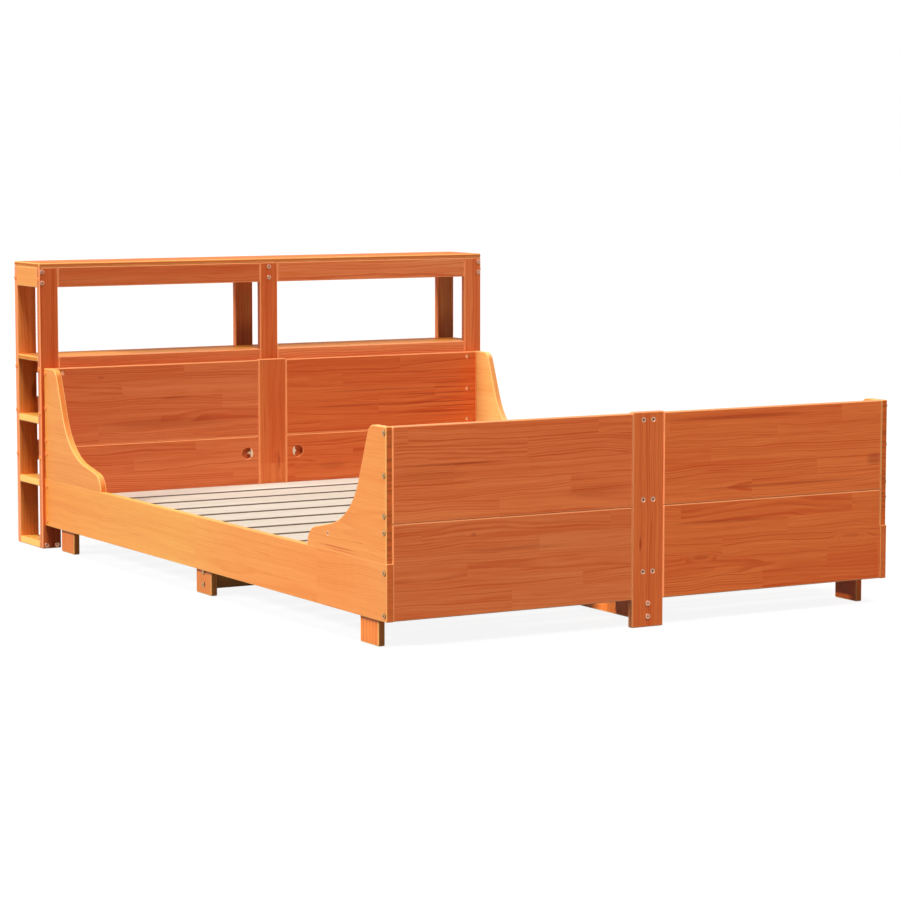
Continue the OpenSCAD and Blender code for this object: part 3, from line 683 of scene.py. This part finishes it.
def wood(name, pale, deep, late, rim, edge, end, lines=0.45, tones=0.32, patches=1.0,
         streaks=1.7, roughness=0.44, gloss=0.22, coat=0.05, mark_and_shade_colour=None, marks=()):
    """Pine from growth rings round a pith that each glued block has of its own.

    The colours are those of the lightest and darkest wood, the rings' dark lines, eased
    edges, narrow sides and sawn ends; those of eased edges and narrow sides are partly
    painted light and shade. A mark is a knot, a dark streak or painted shade at a set place
    on one board, in the colour given for marks."""
    t = Tree(bpy.data.materials.new(name))
    shader = t.nodes["Principled BSDF"].inputs
    mark_and_shade_colour = mark_and_shade_colour or late
    u, v, w = t.split(t.attribute("grain"))
    seed, lamella, joint = t.split(t.attribute("board"))
    eased, end_face, narrow = t.split(t.attribute("face_kinds"))

    # The glued block: its row, its place in the row, and three random numbers
    strays = t.off_centre(t.noise(t.mul(v, STRIP_WAVES), seed, 0.0, detail=0.0),
                          t.mul(lamella, STRIP_STRAYS))
    row = t.math("FLOOR", t.div(t.add(v, strays), lamella))
    stagger = t.math("FRACT", t.mul(t.add(row, seed), STAGGER))
    column = t.math("FLOOR", t.add(t.div(u, joint), stagger))
    c1, c2, c3 = t.split(t.random(t.add(row, 0.5), t.add(column, 0.5), seed))

    # Each block has noise of its own
    shifted = t.add(t.add(u, t.mul(c1, BLOCK_SHIFT)), t.mul(seed, BOARD_SHIFT))

    def figure(waves, across=v, third=None, **more):
        """Noise drawn out along the board, which also changes with the depth or a third value."""
        along_by, across_by = waves
        if third is None:
            third = t.mul(w, across_by)
        return t.noise(t.mul(shifted, along_by), t.mul(across, across_by), third, **more)

    # Distance from the pith, which wanders along the board. Most blocks are cut far from it.
    wander_v, wander_w, wander_r = t.split(figure(WANDER, third=seed, out=1))
    ripple = figure(RIPPLE, third=seed, detail=1.0)
    wavy = t.add(v, t.add(t.off_centre(ripple, RIPPLE_BY), t.off_centre(wander_v, WAVE_BY)))
    middle = t.mul(t.add(row, 0.5), t.math("MINIMUM", lamella, WIDEST_STRIP))
    from_v = t.add(t.sub(wavy, middle),
                   t.add(t.off_centre(c2, PITH_SIDE), t.off_centre(wander_v, WANDER_BY)))
    nearest, deeper = PITH_DEPTH
    from_w = t.add(t.add(w, t.add(nearest, t.mul(c3, deeper))), t.off_centre(wander_w, WANDER_BY))
    radius = t.length(from_v, from_w)

    # Knots: a few round centres that push the rings aside
    cells = t.nodes.new("ShaderNodeTexVoronoi")
    t.put(cells.inputs["Scale"], 1.0)
    t.put(cells.inputs["Vector"], t.join(t.mul(shifted, KNOTS[0]), t.mul(v, KNOTS[1]), seed))
    chosen = t.math("LESS_THAN", t.split(cells.outputs["Color"])[0], KNOT_SHARE)
    gap = cells.outputs["Distance"]
    push = t.mul(t.step(gap, 0.0, KNOT_REACH, 1.0, 0.0), chosen)
    knot = t.mul(t.step(gap, *KNOT_CORE, 1.0, 0.0), chosen)
    dark_marks_and_shade = 0.0
    for board_seed, at_u, at_v, half_l, half_h, swirl, darkness in marks:
        here = t.math("COMPARE", seed, board_seed, 0.5)
        away = t.length(t.mul(t.sub(u, at_u), 1 / half_l), t.mul(t.sub(v, at_v), 1 / half_h))
        if swirl:
            push = t.add(push, t.mul(t.mul(t.step(away, 0.0, MARK_REACH, 1.0, 0.0), here), swirl))
        dark_marks_and_shade = t.add(dark_marks_and_shade, t.mul(t.mul(t.step(away, *MARK_FADE, 1.0, 0.0), here), darkness))

    # Growth rings: pale wood that darkens slowly to a thin line, then starts anew.
    # Each ring has a strength of its own.
    phase = t.add(t.div(t.add(radius, t.mul(push, -KNOT_BY)), RING_W),
                  t.add(t.mul(figure(UNEVEN), RINGS_UNEVEN), t.mul(wander_r, RINGS_WANDER)))
    saw, ring = t.math("FRACT", phase), t.math("FLOOR", phase)
    strength = t.math("POWER", t.split(t.random(ring, t.add(row, 0.5), seed))[0], RARE_RINGS)
    strength = t.add(FAINTEST_RING, t.mul(strength, 1 - FAINTEST_RING))
    dark = t.mul(t.sub(t.step(saw, *RING_DARKENS), t.step(saw, *RING_PALES)), strength)

    # Streaks, fibres and short resin dashes
    broad = figure(BROAD, detail=1.0)
    patch = figure(PATCH, wavy)
    streak = figure(STREAK, wavy, detail=3.0, roughness=0.6)
    fibre = figure(FIBRE)
    dash = t.step(figure(DASH, detail=1.0), *DASH_FROM)

    tone = t.add(t.off_centre(c1, tones),
                 t.add(t.off_centre(patch, patches), t.off_centre(broad, BROAD_BY)))
    tone = t.add(tone, t.add(t.off_centre(streak, streaks), t.off_centre(fibre, FIBRE_BY)))
    tone = t.math("MAXIMUM", t.math("MINIMUM", t.add(tone, 0.5), 1.0), 0.0)
    colour = t.mix(tone, pale, deep)
    colour = t.mix(t.mul(dark, lines), colour, late)
    colour = t.mix(t.mul(dash, DASH_COVERS), colour, late)
    colour = t.mix(t.mul(knot, KNOT_COVERS), colour, t.mix(0.5, mark_and_shade_colour, KNOT_BROWN))
    # Marks darken the wood towards the marks' colour; on the bookcase's rear uprights they are painted
    # shade.
    if marks:
        colour = t.mix(t.mul(dark_marks_and_shade, t.add(MARK_COVERS, streak)), colour, mark_and_shade_colour)

    # Narrow sides, sawn ends with dark bars across them, and eased edges, whose colours are partly painted
    # light and shade
    bars = t.noise(t.mul(v, BAR_WAVES[0]), t.mul(w, BAR_WAVES[1]), t.mul(seed, BAR_SHIFT))
    bars = t.add(t.step(bars, *BARS_FROM), t.mul(c1, BARS_VARY))
    bars = t.mul(t.mul(bars, t.step(end_face, *BARS_ON_SLOPES)), t.step(lamella, *BARS_BY_HEIGHT))
    # Painted highlight: where the eased value passes one, the rim colour is lightened by it.
    rim_highlight = t.math("MAXIMUM", eased, 1.0)
    colour = t.mix(t.mul(narrow, SIDE_COVERS), colour, t.mix(t.mul(dark, SIDE_RINGS), edge, late))
    colour = t.mix(t.mul(end_face, END_COVERS), colour, t.mix(t.mul(bars, BARS_COVER), end, END_BROWN))
    # The board's tint, partly painted light and shade.
    colour = t.mix(1.0, colour, t.attribute("tint"), "MULTIPLY")
    colour = t.mix(t.mul(eased, RIM_COVERS), colour, t.mix(1.0, rim, rim_highlight, "MULTIPLY"))
    t.put(shader["Base Color"], colour)

    height = t.add(t.mul(dark, RING_RELIEF), t.mul(fibre, FIBRE_RELIEF))
    t.put(shader["Normal"], t.bump(height, *BUMP))
    rough = t.add(t.mul(dark, RING_ROUGHNESS), t.off_centre(fibre, FIBRE_ROUGHNESS))
    t.put(shader["Roughness"], t.add(roughness, rough))
    t.put(shader["Specular IOR Level"], gloss)
    t.put(shader["Coat Weight"], coat)
    t.put(shader["Coat Roughness"], COAT_ROUGHNESS)
    return t.owner


# Waves per metre of the clouds and scratches in a plated surface, and the scratches' bump
CLOUD = 225.0
SCRATCH = 900.0
SCRATCH_UP = 4500.0
SCRATCH_ROUGHNESS = 0.3
SCRATCH_BUMP = (0.1, 0.2 * MM)


def metal(name, bright, dull, roughness, metallic=1.0):
    """Plated steel with clouds and fine scratches, or smooth beech where it isn't metallic."""
    t = Tree(bpy.data.materials.new(name))
    shader = t.nodes["Principled BSDF"].inputs
    x, y, z = t.split(t.node("ShaderNodeTexCoord", 3))
    cloud = t.noise(t.mul(x, CLOUD), t.mul(y, CLOUD), t.mul(z, CLOUD), detail=3.0)
    scratch = t.noise(t.mul(x, SCRATCH), t.mul(y, SCRATCH), t.mul(z, SCRATCH_UP))
    t.put(shader["Base Color"], t.mix(cloud, bright, dull))
    t.put(shader["Roughness"], t.add(roughness, t.off_centre(scratch, SCRATCH_ROUGHNESS)))
    t.put(shader["Normal"], t.bump(scratch, *SCRATCH_BUMP))
    t.put(shader["Metallic"], metallic)
    return t.owner


# Painted light in part: the lighter rims of eased edges are stain rubbed thin and painted highlight, and
# the lighter narrow sides are partly painted light.
panel_pine = wood("panel_pine", srgb(249, 136, 72), srgb(230, 103, 45), srgb(204, 62, 10),
                  rim=srgb(255, 164, 104), edge=srgb(250, 158, 92), end=srgb(218, 112, 52),
                  lines=0.58, mark_and_shade_colour=srgb(166, 58, 20),
                  marks=marks_on("footboard", "headboard", "bookcase_rear_upright"))
# A paler stain, partly painted light, for boards seen on their lit sides; its rims and narrow sides are
# lighter still, partly painted highlight.
PALE_PINE = {"pale": srgb(244, 165, 84), "deep": srgb(236, 144, 64), "late": srgb(206, 100, 38),
             "rim": srgb(252, 184, 106), "edge": srgb(250, 186, 106), "end": srgb(228, 108, 42),
             "lines": 0.24, "tones": 0.3, "patches": 1.1, "streaks": 1.2}
rail_pine = wood("rail_pine", marks=marks_on(*PALE_AND_LIT), **PALE_PINE)
shelf_pine = wood("shelf_pine", roughness=0.55, gloss=0.06, coat=0.0, **PALE_PINE)
# Painted shade: bare pine's eased edges and narrow sides are dark, so that the gaps between the slats look
# shaded.
bare_pine = wood("bare_pine", srgb(210, 202, 187), srgb(198, 187, 170), srgb(178, 154, 126),
                 rim=srgb(94, 68, 46), edge=srgb(58, 38, 25), end=srgb(196, 170, 136),
                 lines=0.4, tones=0.5, roughness=0.6, coat=0.0)
zinc = metal("zinc", srgb(226, 176, 146), srgb(168, 118, 90), 0.36)
dull_zinc = metal("dull_zinc", srgb(212, 172, 122), srgb(166, 124, 82), 0.45)
# Painted shade: a dark plating for the sunken rims and sockets of dull bolts and for the cams' cross
# recesses.
painted_shade_zinc = metal("painted_shade_zinc", srgb(88, 54, 30), srgb(56, 34, 20), 0.5)
wood_toned_zinc = metal("wood_toned_zinc", srgb(240, 156, 88), srgb(214, 126, 66), 0.6)
warm_zinc = metal("warm_zinc", srgb(255, 196, 150), srgb(240, 170, 120), 0.5, metallic=0.5)
plate = metal("plate", srgb(246, 232, 206), srgb(226, 208, 180), 0.4)
beech = metal("beech", srgb(236, 214, 178), srgb(214, 184, 140), 0.6, metallic=0.0)


def stained(node):
    """The stained pine that a node is made of."""
    if node in SHELVES:
        return shelf_pine
    return rail_pine if node.startswith(PALE_AND_LIT) else panel_pine


# Holes for the nuts, cams and tie rods

# The way the holes for barrel nuts open, as an axis and a sign. Elsewhere it is towards the head.
NUT_WAYS = {"centre_beam": (X, 1), "bookcase_cross_bars": (Z, 1), "bookcase_rear_rails": (Y, -1),
            "headboard": (Y, -1)}
# The cross rails at the left and in the middle, left of this place, open to the right
RIGHT_CROSS_RAIL = 100 * MM
POCKET_FLARE = 1.2 * MM
# How far a drill starts outside the board
OVER = 1 * MM

HOLES = {n: [] for n in PLANKS}


def open_way(node, centre):
    if node == "bookcase_top_cross_rails":
        return X, 1 if centre[X] < RIGHT_CROSS_RAIL else -1
    return entry(NUT_WAYS, node, (Y, 1))


def host(point, nodes):
    """The node and the board of it that hold a point."""
    for n in nodes:
        for k in PLANKS[n]:
            if k.holds(np.array(point)):
                return n, k
    raise ValueError(f"no board holds {point}")


def hole(node, plank, at, axis, sign, radius, depth, flare=0.0):
    """Notes a round hole from the board's face inwards, and returns its place on the face."""
    at = Vector(at)
    at[axis] = (plank.hi if sign > 0 else plank.lo)[axis]
    HOLES[node].append((at, unit(axis, -sign), radius, depth, flare))
    return at


NUTS, CAMS = [], []
for lo, hi in solids("barrel_nuts"):
    centre = (lo + hi) / 2
    node, plank = host(centre, [n for n in PLANKS if not n.startswith(("guard", "side", "leg"))])
    axis, sign = open_way(node, centre)
    thick = plank.hi[axis] - plank.lo[axis]
    nut_len = hi[axis] - lo[axis]
    hole(node, plank, centre, axis, sign, NUT_R + FIT, (thick + nut_len) / 2)
    NUTS.append((centre, unit(axis, sign), nut_len))
for lo, hi in solids("cams"):
    centre = (lo + hi) / 2
    node, plank = host(centre, [n for n in PLANKS if n.startswith("guard") or n.endswith("post")])
    axis = X if node.startswith("guard") else Y
    sign = 1 if centre[Y] > 0 else -1
    CAMS.append((hole(node, plank, centre, axis, sign, CAM_R + FIT, CAM_H), unit(axis, sign)))
for end, sign in (("footboard", 1), ("headboard", -1)):
    for side, x in (("left", -POCKET_X), ("right", POCKET_X)):
        node = f"{end}_lower_{side}"
        hole(node, PLANKS[node][0], (x, 0, TIE_ROD_Z), Y, sign, POCKET_R, POCKET_DEPTH, POCKET_FLARE)


def drill(piece, holes):
    """Cuts a board's round holes. A pocket's mouth is flared."""
    bm = bmesh.new()
    for at, way, radius, depth, flare in holes:
        if flare:
            profile = [(-OVER, radius + flare + OVER), (flare, radius), (depth, radius)]
            turned(bm, profile, facing(at, way), POCKET_STEPS)
        else:
            turned(bm, [(-OVER, radius), (depth, radius)], facing(at, way))
    cut(piece, object_of(bm, "drill"))


# Build the boards

# How far the cutter of the beams' lap joint reaches to each side, up and down
LAP_SIDE = 20 * MM
LAP_TOP = 200 * MM
LAP_BOTTOM = -100 * MM


def board_piece(node, planks):
    """Boxes with eased edges, cut across wherever the tone changes along a board."""
    bm = bmesh.new()
    for k in planks:
        eased_box(bm, k.lo, k.hi, k.ease)
        steps = np.arange(k.lo[k.along] + SHADE_STEP, k.hi[k.along], SHADE_STEP) if k.shades else ()
        for at in (*k.joints, *steps):
            bmesh.ops.bisect_plane(bm, geom=bm.verts[:] + bm.edges[:] + bm.faces[:],
                                   plane_co=unit(k.along, at), plane_no=unit(k.along, 1))
    return object_of(bm, node + "_wood")


def corner(a, c, b, r):
    """Points of an arc of radius r that rounds the corner c between points a and b."""
    a, c, b = (Vector(p) for p in (a, c, b))
    u, v = (a - c).normalized(), (b - c).normalized()
    half_turn = math.acos(u.dot(v)) / 2
    centre = c + (u + v).normalized() * r / math.sin(half_turn)
    start = c + u * r / math.tan(half_turn) - centre
    end = c + v * r / math.tan(half_turn) - centre
    sweep = -start.angle_signed(end)
    first = math.atan2(start.y, start.x)
    return [(centre.x + r * math.cos(first + sweep * i / GUARD_ARC_STEPS),
             centre.y + r * math.sin(first + sweep * i / GUARD_ARC_STEPS))
            for i in range(GUARD_ARC_STEPS + 1)]


def guard_piece(node, plank):
    """The guard's side view at its true thickness, eased but for where it stands on the rail."""
    top_end, top_corner = (0, GUARD_H), (GUARD_TOP, GUARD_H)
    nose, nose_foot = (GUARD_L, GUARD_NOSE), (GUARD_L, 0)
    outline = [(0, 0), top_end, *corner(top_end, top_corner, GUARD_HEEL, GUARD_TOP_R),
               *corner(top_corner, GUARD_HEEL, nose, GUARD_HEEL_R),
               *corner(GUARD_HEEL, nose, nose_foot, GUARD_NOSE_R), nose_foot]
    bm = bmesh.new()
    rings = []
    for x in (plank.lo[X], plank.hi[X]):
        points = []
        for along, up in outline:
            y = plank.lo[Y] + along if "foot" in node else plank.hi[Y] - along
            points.append(bm.verts.new((x, y, plank.lo[Z] + up)))
        rings.append(points)
        bm.faces.new(points)
    left, right = rings
    n = len(outline)
    for i in range(n):
        j = (i + 1) % n
        bm.faces.new((left[i], left[j], right[j], right[i]))

    def runs_across(e):
        return abs(e.verts[0].co.x - e.verts[1].co.x) > WELD

    def at_base(v):
        return v.co.z < plank.lo[Z] + SPARE

    def at_top_corner(v):
        from_end = min(abs(v.co.y - plank.lo[Y]), abs(v.co.y - plank.hi[Y]))
        return v.co.z > plank.hi[Z] - WELD and from_end < WELD

    edges = [e for e in bm.edges if not runs_across(e) and not all(at_base(v) for v in e.verts)]
    edges += [e for e in bm.edges if runs_across(e) and all(at_top_corner(v) for v in e.verts)]
    bmesh.ops.recalc_face_normals(bm, faces=bm.faces)
    bmesh.ops.bevel(bm, geom=edges, offset=GUARD_EDGE_R, segments=EDGE_STEPS, profile=0.5,
                    affect="EDGES", clamp_overlap=True)
    return object_of(bm, node + "_wood")


def cut_lap(piece, node, beam):
    """Cuts the notch where the beams cross, from above in the long one, else from below."""
    middle = (beam.lo + beam.hi) / 2
    if node == "centre_beam":
        notch(piece, (-LAP_SIDE, middle[Y] - NOTCH / 2, middle[Z] - LAP),
              (LAP_SIDE, middle[Y] + NOTCH / 2, LAP_TOP))
    else:
        notch(piece, (-NOTCH / 2, middle[Y] - LAP_SIDE, LAP_BOTTOM),
              (NOTCH / 2, middle[Y] + LAP_SIDE, middle[Z]))


for node, planks in PLANKS.items():
    is_guard = node.startswith("guard")
    piece = guard_piece(node, planks[0]) if is_guard else board_piece(node, planks)
    if node in ("centre_beam", "cross_beam"):
        cut_lap(piece, node, planks[0])
    if HOLES[node]:
        drill(piece, HOLES[node])
    mark_grain(piece, planks, curved=is_guard)
    smooth(piece, BOARD_CREASE)
    if node.startswith(BARE):
        dress(piece, [bare_pine], "pine_bare", node)
    else:
        dress(piece, [stained(node)], "pine_stained", node)


# Fasteners

# Platings of the bolts and of the cams, each with the numbers of its faces' materials
PLATINGS = (zinc, painted_shade_zinc, dull_zinc, wood_toned_zinc)
BRIGHT, PAINTED_SHADE, DULL, WOOD_TONED = range(4)
CAM_PLATINGS = (zinc, warm_zinc, painted_shade_zinc)
CAM_BRIGHT, CAM_WARM, CAM_PAINTED_SHADE = range(3)

# A bolt: the chamfer at its tip, the rounding and width of its head's rim, and its socket,
# which reaches below the head's seat. On a dull bolt, what lies deeper than its face is
# painted shade. Points further from its axis than the last size belong to its head.
TIP = 0.6 * MM
RIM_R = 0.3 * MM
RIM_IN = 1.0 * MM
SOCKET_MOUTH = 0.35 * MM
SOCKET_DEPTH = 1.2 * MM
SOCKET_POINT = 0.4 * MM
FACE_DEPTH = 0.4 * MM
WIDE = 0.9 * BOLT_HEAD_R

# A cam: its rounding and slope, how far it lies below the wood, its rim, and its cross
# recess, with how far from the axis the faces of the recess lie
CAM_EDGE = 0.4 * MM
CAM_SLOPE = 0.5 * MM
CAM_SUNK = 0.3 * MM
CAM_RIM = 1.4 * MM
CROSS = (3.6 * MM, 1.0 * MM)
CROSS_DEPTH = 3.2 * MM
CROSS_REACH = 5 * MM

# A barrel nut: its rounding, and half the width, the depth and half the length of its slot
NUT_EDGE = 0.5 * MM
SLOT_W = 0.7 * MM
SLOT_DEPTH = 1.6 * MM
SLOT_L = 10 * MM


@functools.cache
def points_of(node):
    return read(NODES[node].data.vertices, "co")


def head_side(node, axis, lo, hi):
    """Which end of a bolt carries its head: the end where the CAD solid is widest."""
    centre = (lo + hi) / 2
    co = points_of(node)
    inside = co[np.all((co > lo - SPARE) & (co < hi + SPARE), axis=1)]
    off = np.delete(inside - centre, axis, axis=1)
    wide = inside[np.hypot(*off.T) > WIDE]
    return 1 if wide[:, axis].mean() > centre[axis] else -1


def plating_of(axis, centre):
    """Bolts along the bed are bright. Those across it are duller, more so towards the head, where they take
    the wood's orange tone.
    """
    if axis != X:
        return BRIGHT
    return DULL if centre[Y] < 0 else WOOD_TONED


def bolt_piece(node):
    """Flat round heads with a rounded rim and a hexagon socket, on plain shanks.

    Each face is marked with the number of its plating."""
    bm = bmesh.new()
    plating = bm.faces.layers.int.new("plating")
    h, r = BOLT_HEAD_H, BOLT_HEAD_R
    for lo, hi in solids(node):
        axis = int(np.argmax(hi - lo))
        sign = head_side(node, axis, lo, hi)
        seat = Vector((lo + hi) / 2)
        seat[axis] = (hi[axis] - h) if sign > 0 else (lo[axis] + h)
        shank = hi[axis] - lo[axis] - h
        profile = [
            (-shank, BOLT_R - TIP), (-shank + TIP, BOLT_R), (0, BOLT_R),
            (0, r - RIM_R), (RIM_R, r), (h - 3 * RIM_R, r), (h - SOCKET_MOUTH, r - RIM_R),
            (h, r - RIM_IN), (h, SOCKET_R + SOCKET_MOUTH, "hex"), (h - RIM_R, SOCKET_R, "hex"),
            (-SOCKET_DEPTH, SOCKET_R, "hex"), (-SOCKET_DEPTH - SOCKET_POINT, SOCKET_POINT),
        ]
        kind = plating_of(axis, seat)
        for f in turned(bm, profile, facing(seat, unit(axis, sign)), BOLT_STEPS):
            out = (f.calc_center_median()[axis] - seat[axis]) * sign
            # Below its face, a dull bolt takes the painted shade plating.
            f[plating] = PAINTED_SHADE if kind == DULL and out < h - FACE_DEPTH else kind
    return object_of(bm, node + "_turned")


def copies(template, places, name):
    """One mesh with a copy of the template at each place."""
    bm = bmesh.new()
    for place in places:
        mesh = template.data.copy()
        mesh.transform(place)
        bm.from_mesh(mesh)
        bpy.data.meshes.remove(mesh)
    bpy.data.objects.remove(template)
    return object_of(bm, name)


def drum(name, profile):
    """A turned object round +Z."""
    bm = bmesh.new()
    turned(bm, profile, Matrix.Identity(4))
    return object_of(bm, name)


def cam_template():
    """A drum whose face has a rim and a deep cross recess."""
    e, sunk = CAM_EDGE, CAM_SUNK
    piece = drum("cam_template", [
        (-CAM_H, CAM_R - e), (-CAM_H + e, CAM_R), (-sunk - CAM_SLOPE, CAM_R), (-sunk, CAM_R - e),
        (-sunk, CAM_R - CAM_RIM), (-2 * sunk, CAM_R - CAM_RIM - sunk)])
    long, short = CROSS
    for x, y in ((long, short), (short, long)):
        notch(piece, (-x, -y, -CROSS_DEPTH), (x, y, OVER))
    for face in piece.data.polygons:
        at = face.center
        # Faces in the cross recess take the painted shade plating.
        in_cross = -CROSS_DEPTH - sunk < at.z < -3 * sunk and at.xy.length < CROSS_REACH
        face.material_index = CAM_PAINTED_SHADE if in_cross else CAM_BRIGHT
    return piece


def nut_template(length):
    """A cross dowel with a rounded rim and a screwdriver slot."""
    e, half = NUT_EDGE, length / 2
    piece = drum("nut_template", [(-half, NUT_R - e), (-half + e, NUT_R), (half - e, NUT_R),
                                  (half, NUT_R - e)])
    notch(piece, (-SLOT_L, -SLOT_W, half - SLOT_DEPTH), (SLOT_L, SLOT_W, half + OVER))
    return piece


for node in ("connector_bolts", "long_connector_bolts"):
    piece = bolt_piece(node)
    smooth(piece, METAL_CREASE)
    dress(piece, PLATINGS, "zinc_steel", node)
    numbers = np.empty(len(piece.data.polygons), dtype=np.int32)
    piece.data.attributes["plating"].data.foreach_get("value", numbers)
    piece.data.polygons.foreach_set("material_index", numbers)

# The cams of the guards, which lie further out than those of the posts, have a warmer tone
piece = copies(cam_template(), [facing(at, way) for at, way in CAMS], "cams_turned")
smooth(piece, METAL_CREASE)
numbers = [f.material_index or (CAM_WARM if abs(f.center.x) > POCKET_X else CAM_BRIGHT)
           for f in piece.data.polygons]
dress(piece, CAM_PLATINGS, "zinc_steel", "cams")
piece.data.polygons.foreach_set("material_index", numbers)

piece = copies(nut_template(NUTS[0][2]), [facing(at, way) for at, way, _ in NUTS],
               "barrel_nuts_turned")
smooth(piece, METAL_CREASE)
dress(piece, [warm_zinc], "zinc_steel", "barrel_nuts")

LEFT_AS_CAD = {"cam_bolts": zinc, "tie_rods": plate, "half_moon_washers": plate,
               "tie_rod_nuts": plate, "wood_screws": zinc, "dowels": beech}
for node, material in LEFT_AS_CAD.items():
    NODES[node].data.materials.clear()
    NODES[node].data.materials.append(material)


# Camera at the photograph's viewing angle, without shift

CAMERA_AT = (-4.07355, -6.11258 + RAILS_FOOT, 1.18863)
CAMERA_YAW = 29.927
CAMERA_PITCH = 5.893
CAMERA_LENS = 122.17
CAMERA_SENSOR = 36
FAR = 200

camera = bpy.data.objects.new("camera", bpy.data.cameras.new("camera"))
camera.location = CAMERA_AT
camera.rotation_euler = (math.radians(90 - CAMERA_PITCH), 0, -math.radians(CAMERA_YAW))
camera.data.lens = CAMERA_LENS
camera.data.sensor_width = CAMERA_SENSOR
camera.data.clip_end = FAR
scene.collection.objects.link(camera)
scene.camera = camera


# Light

def sun(name, azimuth, elevation, level, softness):
    """Light from that azimuth (0 from the foot end, 90 from the left) and elevation.

    The level is the brightness of a white surface that faces it."""
    lamp = bpy.data.lights.new(name, "SUN")
    lamp.energy = level * math.pi
    lamp.angle = math.radians(softness)
    holder = bpy.data.objects.new(name, lamp)
    a, e = math.radians(azimuth), math.radians(elevation)
    towards = Vector((-math.sin(a) * math.cos(e), -math.cos(a) * math.cos(e), math.sin(e)))
    holder.rotation_euler = towards.to_track_quat("Z", "Y").to_euler()
    scene.collection.objects.link(holder)


sun("left_light", 94, 34, 0.89, 12)
sun("front_light", 12, 60, 0.79, 20)
sun("right_fill", 262, 12, 0.4, 30)

# A low light just above the floor that shines under the left rail at the foot
LOW_W, LOW_H = 190 * MM, 52 * MM
LOW_LEVEL = 0.55
LOW_SPREAD = 1
LOW_OFF = 2.3
UNDER_RAIL = Vector((-0.705, 0.169 + RAILS_FOOT, 0.028))
TO_LOW = Vector((-1, 0.048, 0)).normalized()

lamp = bpy.data.lights.new("low_light", "AREA")
lamp.shape = "RECTANGLE"
lamp.size, lamp.size_y = LOW_W, LOW_H
lamp.spread = math.radians(LOW_SPREAD)
lamp.energy = LOW_LEVEL * math.pi * LOW_W * LOW_H
holder = bpy.data.objects.new("low_light", lamp)
holder.location = UNDER_RAIL + TO_LOW * LOW_OFF
holder.rotation_euler = TO_LOW.to_track_quat("Z", "Y").to_euler()
holder.visible_camera = False
holder.visible_glossy = False
scene.collection.objects.link(holder)

# The world lights the bed softly, and is white to the camera, in mirrors and through glass
WHITE = (1, 1, 1, 1)
AMBIENT = 0.21

world = bpy.data.worlds.new("world")
scene.world = world
t = Tree(world)
soft = t.nodes["Background"]
t.put(soft.inputs["Color"], WHITE)
t.put(soft.inputs["Strength"], AMBIENT)
white = t.node("ShaderNodeBackground", Color=WHITE, Strength=1.0)
blend = t.fill("ShaderNodeMixShader", t.seen(), soft.outputs[0], white)
t.put(t.nodes["World Output"].inputs["Surface"], blend.outputs[0])


# Floor: pale, and white to the camera outside the bed's shadow

FLOOR_GREY = (0.12, 0.12, 0.12, 1)
FLOOR_GLOW = 0.9
FLOOR_SIZE = 60
FLOOR_DROP = 0.5 * MM

paint = bpy.data.materials.new("floor")
t = Tree(paint)
diffuse = t.node("ShaderNodeBsdfDiffuse", Color=FLOOR_GREY)
glow = t.node("ShaderNodeEmission", Color=WHITE, Strength=t.mul(t.seen(), FLOOR_GLOW))
both = t.fill("ShaderNodeAddShader", diffuse, glow)
t.put(t.nodes["Material Output"].inputs["Surface"], both.outputs[0])
t.nodes.remove(t.nodes["Principled BSDF"])

bm = bmesh.new()
bmesh.ops.create_grid(bm, x_segments=1, y_segments=1, size=FLOOR_SIZE)
floor = object_of(bm, "floor")
floor.location.z = -FLOOR_DROP
floor.data.materials.append(paint)

scene.view_settings.view_transform = "Standard"
